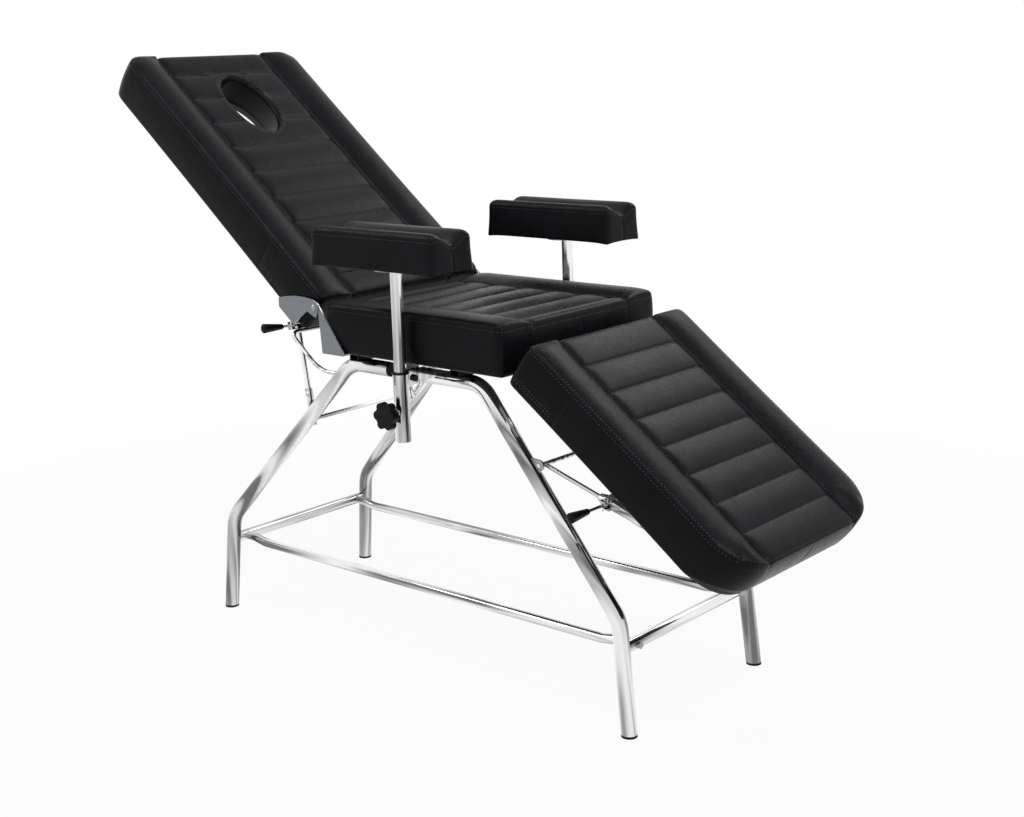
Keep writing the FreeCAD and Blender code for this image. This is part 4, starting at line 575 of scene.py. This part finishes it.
def sew_rows(name, piece, lines, pitch=THREAD_PITCH, length=0.0042, radius=0.00055):
    """Lay stitches along lines of points, each a tapered twist of thread, where the surface is
    nearest, or where it is met in the line's own direction."""
    tree = BVHTree.FromPolygons([vertex.co for vertex in piece.data.vertices],
                                [polygon.vertices for polygon in piece.data.polygons])
    points, faces = [], []
    for line, aim in lines:
        line = [Vector(point) for point in line]
        steps = [0.0]
        for start, stop in zip(line, line[1:]):
            steps.append(steps[-1] + (stop - start).length)
        count = int(steps[-1] / pitch)
        for stitch in range(count):
            ends = []
            for at in (stitch * pitch + pitch / 2 - length / 2,
                       stitch * pitch + pitch / 2 + length / 2):
                leg = min(int(np.searchsorted(steps, at, "right")) - 1, len(line) - 2)
                share = (at - steps[leg]) / max(steps[leg + 1] - steps[leg], 1e-9)
                ends.append(line[leg].lerp(line[leg + 1], share))
            found = [tree.find_nearest(end) if aim is None else tree.ray_cast(end - aim * 0.03, aim)
                     for end in ends]
            if None in (found[0][0], found[1][0]):
                continue
            start, stop = found[0][0], found[1][0]
            up = (found[0][1] + found[1][1]).normalized()
            along = (stop - start).normalized()
            side = along.cross(up).normalized()
            first = len(points)
            points.append(start)
            for share in (0.25, 0.75):
                middle = start.lerp(stop, share) + up * radius * 0.5
                for turn in range(4):
                    angle = math.pi / 4 + turn * math.pi / 2
                    points.append(middle + (side * math.cos(angle) + up * math.sin(angle)) * radius)
            points.append(stop)
            for turn in range(4):
                ahead = (turn + 1) % 4
                faces.append((first, first + 1 + ahead, first + 1 + turn))
                faces.append((first + 1 + turn, first + 1 + ahead,
                              first + 5 + ahead, first + 5 + turn))
                faces.append((first + 9, first + 5 + turn, first + 5 + ahead))
    mesh = bpy.data.meshes.new(name)
    mesh.from_pydata([tuple(point) for point in points], [], faces)
    threads = bpy.data.objects.new(name, mesh)
    bpy.context.scene.collection.objects.link(threads)
    shape = bmesh.new()
    shape.from_mesh(mesh)
    bmesh.ops.recalc_face_normals(shape, faces=shape.faces)
    shape.to_mesh(mesh)
    shape.free()
    select_only(threads)
    bpy.ops.object.shade_smooth()
    mesh.materials.append(thread)
    return threads


DOWN = Vector((0, 0, -1))


def cushion_lines(length, channels, outline, top, thick, double, patch, opening=None):
    """The lines of stitching on one cushion, in its own frame: a row on each side of the edge
    seam, or one row under it where the cover wraps over the edge."""
    half = PAD_HALF - EDGE_INSET
    lines = []

    def laid(places):
        return [(float(outline(x, y)[0]), float(outline(x, y)[1]), thick) for x, y in places]

    inset = 0.0052
    for side in (-1, 1):
        if double:
            lines.append((laid([(x, side * (half - inset))
                                for x in np.linspace(inset, length - inset, 90)]), DOWN))
        lines.append((laid([(x, side * (INNER_SEAM + 0.0042))
                            for x in np.linspace(0.006, length - 0.006, 60)]), DOWN))
        if double:
            edge = laid([(x, side * half) for x in np.linspace(0.004, length - 0.004, 90)])
            lines.append(([(x, y, float(top(np.array(x), np.array(side * half))) - 0.0048)
                           for x, y, z in edge], None))
            for height in (0.019, 0.0255):
                lines.append(([(x, side * PAD_HALF, height) for x in (0.012, patch - 0.008)],
                              None))
    if double:
        for end in (inset, length - inset):
            lines.append((laid([(end, y) for y in np.linspace(-half + inset, half - inset, 60)]),
                          DOWN))
    else:
        rim = [(x, -half) for x in np.linspace(0.01, length - 0.01, 90)]
        rim += [(length, y) for y in np.linspace(-half + 0.01, half - 0.01, 90)]
        rim += ([(length - x, half) for x, y in rim[:90]]
                + [(0, -y) for x, y in rim[90:180]] + rim[:1])
        lines.append(([(float(outline(x, y)[0]), float(outline(x, y)[1]),
                        float(top(np.array(x), np.array(y))) - 0.0062) for x, y in rim], None))
    for channel in channels:
        spans = [(-INNER_SEAM + 0.005, INNER_SEAM - 0.005)]
        if opening and abs(channel - opening[0]) < opening[1]:
            reach = opening[2] * math.sqrt(1 - ((channel - opening[0]) / opening[1]) ** 2) + 0.026
            spans = [(-INNER_SEAM + 0.005, -reach), (reach, INNER_SEAM - 0.005)]
        for low, high in spans:
            lines.append((laid([(channel, y) for y in np.linspace(low, high, 40)]), DOWN))
    if opening:
        hole_x, hole_long, hole_short = opening
        for away in (0.010, 0.0155):
            loop = []
            for turn in range(97):
                angle = turn * math.tau / 96
                loop.append((hole_x + math.cos(angle) * (hole_long + away),
                             math.sin(angle) * (hole_short + away), thick))
            lines.append((loop, DOWN))
    return lines


def fit_cover(cover, threads, placement, body, pad):
    """Move a cover and its stitches into the chair's frame, with their objects left at the
    origin, and put them on their body in place of the plain pad."""
    for piece in (cover, threads):
        piece.data.transform(placement)
        piece.data.update()
        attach(piece, body)
    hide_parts(pad)


SEAT_LENGTH, SEAT_THICK = 0.489, 0.102
SEAT_CHANNELS = [0.036 + 0.082 * count for count in range(6)]
SEAT_PLACE = (-0.170, 0, 0.667)
seat_placement = Matrix.Translation(SEAT_PLACE)
seat_cover, outline, top = sew_cushion(
    "seat_cushion", SEAT_LENGTH, SEAT_THICK, SEAT_CHANNELS, near_round=0.012, far_round=0.012,
    toe_round=0.007, patch=None, rib=0.0055, wrap=0.006)
seat_thread = sew_rows("seat_cushion_stitching", seat_cover,
                       cushion_lines(SEAT_LENGTH, SEAT_CHANNELS, outline, top, SEAT_THICK,
                                     double=False, patch=None))
seat_cover.data.materials.append(leatherette)
fit_cover(seat_cover, seat_thread, seat_placement, "base", "seat_pad")

# Back cushion: the longest section, quilted in nine channels, with a face hole near its head
# end that is lined with the same cover and stitched round twice.
BACK_LENGTH, BACK_THICK = 0.797, 0.095
BACK_CHANNELS = sorted(BACK_LENGTH - 0.068 - 0.0835 * count for count in range(9))
FACE_HOLE = (0.617, 0.0945, 0.0555)
BACK_PATCH = 0.188
BACK_HINGE, BACK_ANGLE = (-0.195, 0, 0.760), math.radians(39.3)
BACK_OFFSET = (0, 0, -0.071)
back_placement = (Matrix.Translation(BACK_HINGE) @ Matrix.Rotation(BACK_ANGLE, 4, "Y")
                  @ Matrix.Rotation(math.pi, 4, "Z") @ Matrix.Translation(BACK_OFFSET))
back_cover, outline, top = sew_cushion(
    "back_cushion", BACK_LENGTH, BACK_THICK, BACK_CHANNELS, near_round=0.014, far_round=0.040,
    toe_round=0.007, patch=BACK_PATCH, opening=FACE_HOLE)
back_thread = sew_rows("back_cushion_stitching", back_cover,
                       cushion_lines(BACK_LENGTH, BACK_CHANNELS, outline, top, BACK_THICK,
                                     double=True, patch=BACK_PATCH, opening=FACE_HOLE))
back_cover.data.materials.append(leatherette)
fit_cover(back_cover, back_thread, back_placement, "backrest", "back_pad")

# Leg cushion: quilted in seven channels, with large round corners at the foot end and a
# rolled lower edge there.
LEG_LENGTH, LEG_THICK = 0.594, 0.095
LEG_CHANNELS = [0.077 + 0.0737 * count for count in range(7)]
LEG_PATCH = 0.130
LEG_HINGE, LEG_ANGLE = (0.320, 0, 0.660), math.radians(36.8)
LEG_OFFSET = (0.003, 0, 0.006)
leg_placement = (Matrix.Translation(LEG_HINGE) @ Matrix.Rotation(LEG_ANGLE, 4, "Y")
                 @ Matrix.Translation(LEG_OFFSET))
leg_cover, outline, top = sew_cushion(
    "leg_cushion", LEG_LENGTH, LEG_THICK, LEG_CHANNELS, near_round=0.014, far_round=0.095,
    toe_round=0.028, patch=LEG_PATCH, rib=0.0025)
leg_thread = sew_rows("leg_cushion_stitching", leg_cover,
                      cushion_lines(LEG_LENGTH, LEG_CHANNELS, outline, top, LEG_THICK,
                                    double=True, patch=LEG_PATCH))
leg_cover.data.materials.append(leatherette)
fit_cover(leg_cover, leg_thread, leg_placement, "leg_rest", "leg_pad")

# Armrest cushions: foam blocks with a trough for the arm between two raised long sides,
# covered in one piece that is sewn to its side band along the top edge and pulled down to
# the four lower corners.


def sew_armrest(name):
    """One armrest cushion in its own frame, X along it, the board's recess under it."""
    length, half, height = 0.342, 0.0585, 0.079
    flare, rim, trough_depth = 0.003, 0.011, 0.019
    recess, fold = 0.0095, 0.005
    edge = half - flare
    xs = spread([0.003, 0.006, 0.011, 0.02,
                 length - 0.02, length - 0.011, length - 0.006, length - 0.003], 0.009)
    ys = spread([-edge, -edge + 0.003, -edge + 0.008, -edge + 0.016, -0.0025, 0, 0.0025,
                 edge - 0.016, edge - 0.008, edge - 0.003, edge], 0.006)

    def plan(x, y):
        x, y = np.array(x, float), np.array(y, float)
        soft = 0.007
        for corner, towards in ((0.003 + soft, -1), (length - 0.003 - soft, 1)):
            over, side = (x - corner) * towards, abs(y) - (edge - soft)
            inside = (over > 0) & (side > 0)
            scale = np.maximum(over, side) / np.maximum(np.hypot(over, side), 1e-9)
            x = np.where(inside, corner + towards * over * scale, x)
            y = np.where(inside, np.sign(y) * (edge - soft + side * scale), y)
        return x, y * (1 - 0.02 * (1 - ((2 * x - length) / length) ** 2))

    def top(x, y):
        side = abs(y) / edge
        crest = height - rim + rim * ease((1 - side) / 0.2)
        trough = np.clip((0.78 - side) / 0.78, 0, 1)
        trough = trough * trough * (3 - 2 * trough)
        end = np.minimum(x - 0.003, length - 0.003 - x)
        rise = crest - trough_depth * trough
        rise = rise - 0.0085 * (1 - ease(end / 0.02)) * ease((1 - side) / 0.2 + 0.25)
        welt = np.minimum(end, edge - abs(y))
        return rise - 0.0008 * np.clip(1 - abs(welt - 0.003) / 0.003, 0, 1)

    def flank(seam, normal, spot):
        rows = [(-0.0002, seam - 0.003), (0.0002, seam - 0.007)]
        along = min(spot[0] - 0.003, length - 0.003 - spot[0])
        from_corner = max(along, edge - abs(spot[1]), 0.0)
        pinch = math.exp(-from_corner / 0.016)
        tuck = 0.0016 * max(0.0, 1 - abs(spot[1]) / 0.0026) if abs(normal[0]) > 0.9 else 0.0
        for share in (0.12, 0.3, 0.5, 0.7, 0.88, 1.0):
            level = (seam - 0.007) * (1 - share) + (0.003 - 0.003 * pinch) * share
            out = (flare * share ** 1.6 * (1 + 0.6 * pinch)
                   + 0.0012 * math.sin(math.pi * share) * (1 - pinch))
            rows.append((out - tuck, level))
        last, low = rows[-1]
        return rows + [(last - 0.0006, low - 0.002), (last - 0.003, low - 0.003),
                       (last - 0.0095, low - 0.003), (last - 0.0097, recess)]

    piece, index, side_rows = wrap_skin(name, xs, ys, plan, top, flank, recess, fold)
    along, across = np.meshgrid(xs, ys, indexing="ij")
    held = np.ones(len(piece.data.vertices), bool)
    caps = np.full(len(held), 0.002)
    free = ((np.minimum(along - 0.003, length - 0.003 - along) > 0.009)
            & (edge - abs(across) > 0.009))
    held[index[free]] = False
    for row in side_rows[2:7]:
        held[row] = False
        caps[row] = 0.0015
    blow_up(piece, held, caps, 3.0)
    smooth_skin(piece)
    rim_line = [(x, -edge) for x in np.linspace(0.006, length - 0.006, 60)]
    rim_line += [(length - 0.003, y) for y in np.linspace(-edge + 0.004, edge - 0.004, 40)]
    rim_line += [(x, edge) for x in np.linspace(length - 0.006, 0.006, 60)]
    rim_line += [(0.003, y) for y in np.linspace(edge - 0.004, -edge + 0.004, 40)]
    rim_line.append(rim_line[0])
    line = [(float(plan(x, y)[0]), float(plan(x, y)[1]),
             float(top(np.array(x), np.array(y))) - 0.0055) for x, y in rim_line]
    threads = sew_rows(name + "_stitching", piece, [(line, None)], ARMREST_PITCH)
    piece.data.materials.append(leatherette)
    return piece, threads


ARMREST_FILL, ARMREST_PITCH = 0.8, 0.0072
SWIVEL_X, SWIVEL_Y = 0.0664, 0.2687
ARMREST_BEHIND, ARMREST_HEIGHT = 0.014 + 0.171, 0.8653
armrest_cover, armrest_thread = sew_armrest("near_armrest_cushion")
far_cover, far_thread = armrest_cover.copy(), armrest_thread.copy()
for copy, original in ((far_cover, armrest_cover), (far_thread, armrest_thread)):
    copy.data = original.data.copy()
    copy.name = original.name.replace("near_", "far_")
    bpy.context.scene.collection.objects.link(copy)
for cover, threads, side, body in ((armrest_cover, armrest_thread, -1, "near_armrest"),
                                   (far_cover, far_thread, 1, "far_armrest")):
    placement = Matrix.Translation((SWIVEL_X - ARMREST_BEHIND, side * SWIVEL_Y, ARMREST_HEIGHT))
    fit_cover(cover, threads, placement, body, body + "_pad")

# Studio: a white paper floor that fades into a white surround, four soft lights (two long
# ones overhead, one each from the foot and head ends) and the camera where the photograph
# was taken.


def white_to_rays(tree):
    """1 for the rays by which the camera, metal and clear things see the surround, else 0."""
    rays = add_node(tree, "ShaderNodeLightPath")
    direct = add_node(tree, "ShaderNodeMath", operation="MAXIMUM", inputs={
        0: rays.outputs["Is Camera Ray"], 1: rays.outputs["Is Glossy Ray"]})
    return add_node(tree, "ShaderNodeMath", operation="MAXIMUM", inputs={
        0: direct.outputs["Value"], 1: rays.outputs["Is Transmission Ray"]})


FLOOR_SIZE = 60
bpy.ops.mesh.primitive_plane_add(size=FLOOR_SIZE, location=(0, 0, 0))
floor = bpy.context.object
floor.name = "studio_floor"
paper, tree, surface, place = start_material("studio_paper")
surface.inputs["Base Color"].default_value = linear("#e8e8e8")
surface.inputs["Roughness"].default_value = 0.9
surface.inputs["Specular IOR Level"].default_value = 0.1
seen = white_to_rays(tree)
away = add_node(tree, "ShaderNodeVectorMath", {0: place}, operation="LENGTH")
fade = add_node(tree, "ShaderNodeMapRange", {"Value": away.outputs["Value"],
                                             "From Min": 1.0, "From Max": 2.6,
                                             "To Min": 0.94, "To Max": 1.0})
whiten = add_node(tree, "ShaderNodeMath", {0: seen.outputs["Value"], 1: fade.outputs["Result"]},
                  operation="MULTIPLY")
glow = add_node(tree, "ShaderNodeEmission", {"Strength": 1.0})
both = add_node(tree, "ShaderNodeMixShader", {
    0: whiten.outputs["Value"], 1: surface.outputs["BSDF"], 2: glow.outputs["Emission"]})
tree.links.new(both.outputs["Shader"], tree.nodes["Material Output"].inputs["Surface"])
floor.data.materials.append(paper)

world = bpy.data.worlds.new("studio")
bpy.context.scene.world = world
world.use_nodes = True
tree = world.node_tree
backdrop = tree.nodes["Background"]
seen = white_to_rays(tree)
strength = add_node(tree, "ShaderNodeMapRange", {"Value": seen.outputs["Value"],
                                                 "To Min": 0.2, "To Max": 1.0})
tree.links.new(strength.outputs["Result"], backdrop.inputs["Strength"])
backdrop.inputs["Color"].default_value = linear("#ffffff")

for name, spot, aim, wide, deep, power in (
        ("key_softbox", (0.3, -0.9, 3.2), (0.1, 0, 0.7), 2.0, 0.35, 24),
        ("far_softbox", (0.4, 2.6, 3.0), (0.1, 0, 0.7), 1.9, 1.2, 27),
        ("foot_softbox", (2.3, 0.2, 2.1), (0.4, 0, 0.6), 0.8, 0.8, 16),
        ("side_softbox", (-2.2, -1.8, 2.8), (0, 0, 0.7), 0.6, 0.6, 17)):
    bpy.ops.object.light_add(type="AREA", location=spot)
    lamp = bpy.context.object
    lamp.name = name
    lamp.data.shape = "RECTANGLE"
    lamp.data.size = wide
    lamp.data.size_y = deep
    lamp.data.energy = power
    lamp.rotation_euler = (Vector(aim) - Vector(spot)).to_track_quat("-Z", "Y").to_euler()

CAMERA_RIGHT = Vector((0.757695, 0.651957, -0.029174))
CAMERA_UP = Vector((-0.130317, 0.194954, 0.972116))
CAMERA_AHEAD = Vector((-0.639465, 0.732766, -0.232677))
CAMERA_PLACE = (2.21623, -2.39674, 1.29561)
bpy.ops.object.camera_add(location=CAMERA_PLACE)
camera = bpy.context.object
turn = Matrix((CAMERA_RIGHT, CAMERA_UP, -CAMERA_AHEAD)).transposed()
camera.rotation_euler = turn.to_euler()
camera.data.sensor_width = 36
camera.data.lens = 54.3195
bpy.context.scene.camera = camera
bpy.context.scene.view_settings.view_transform = "Standard"
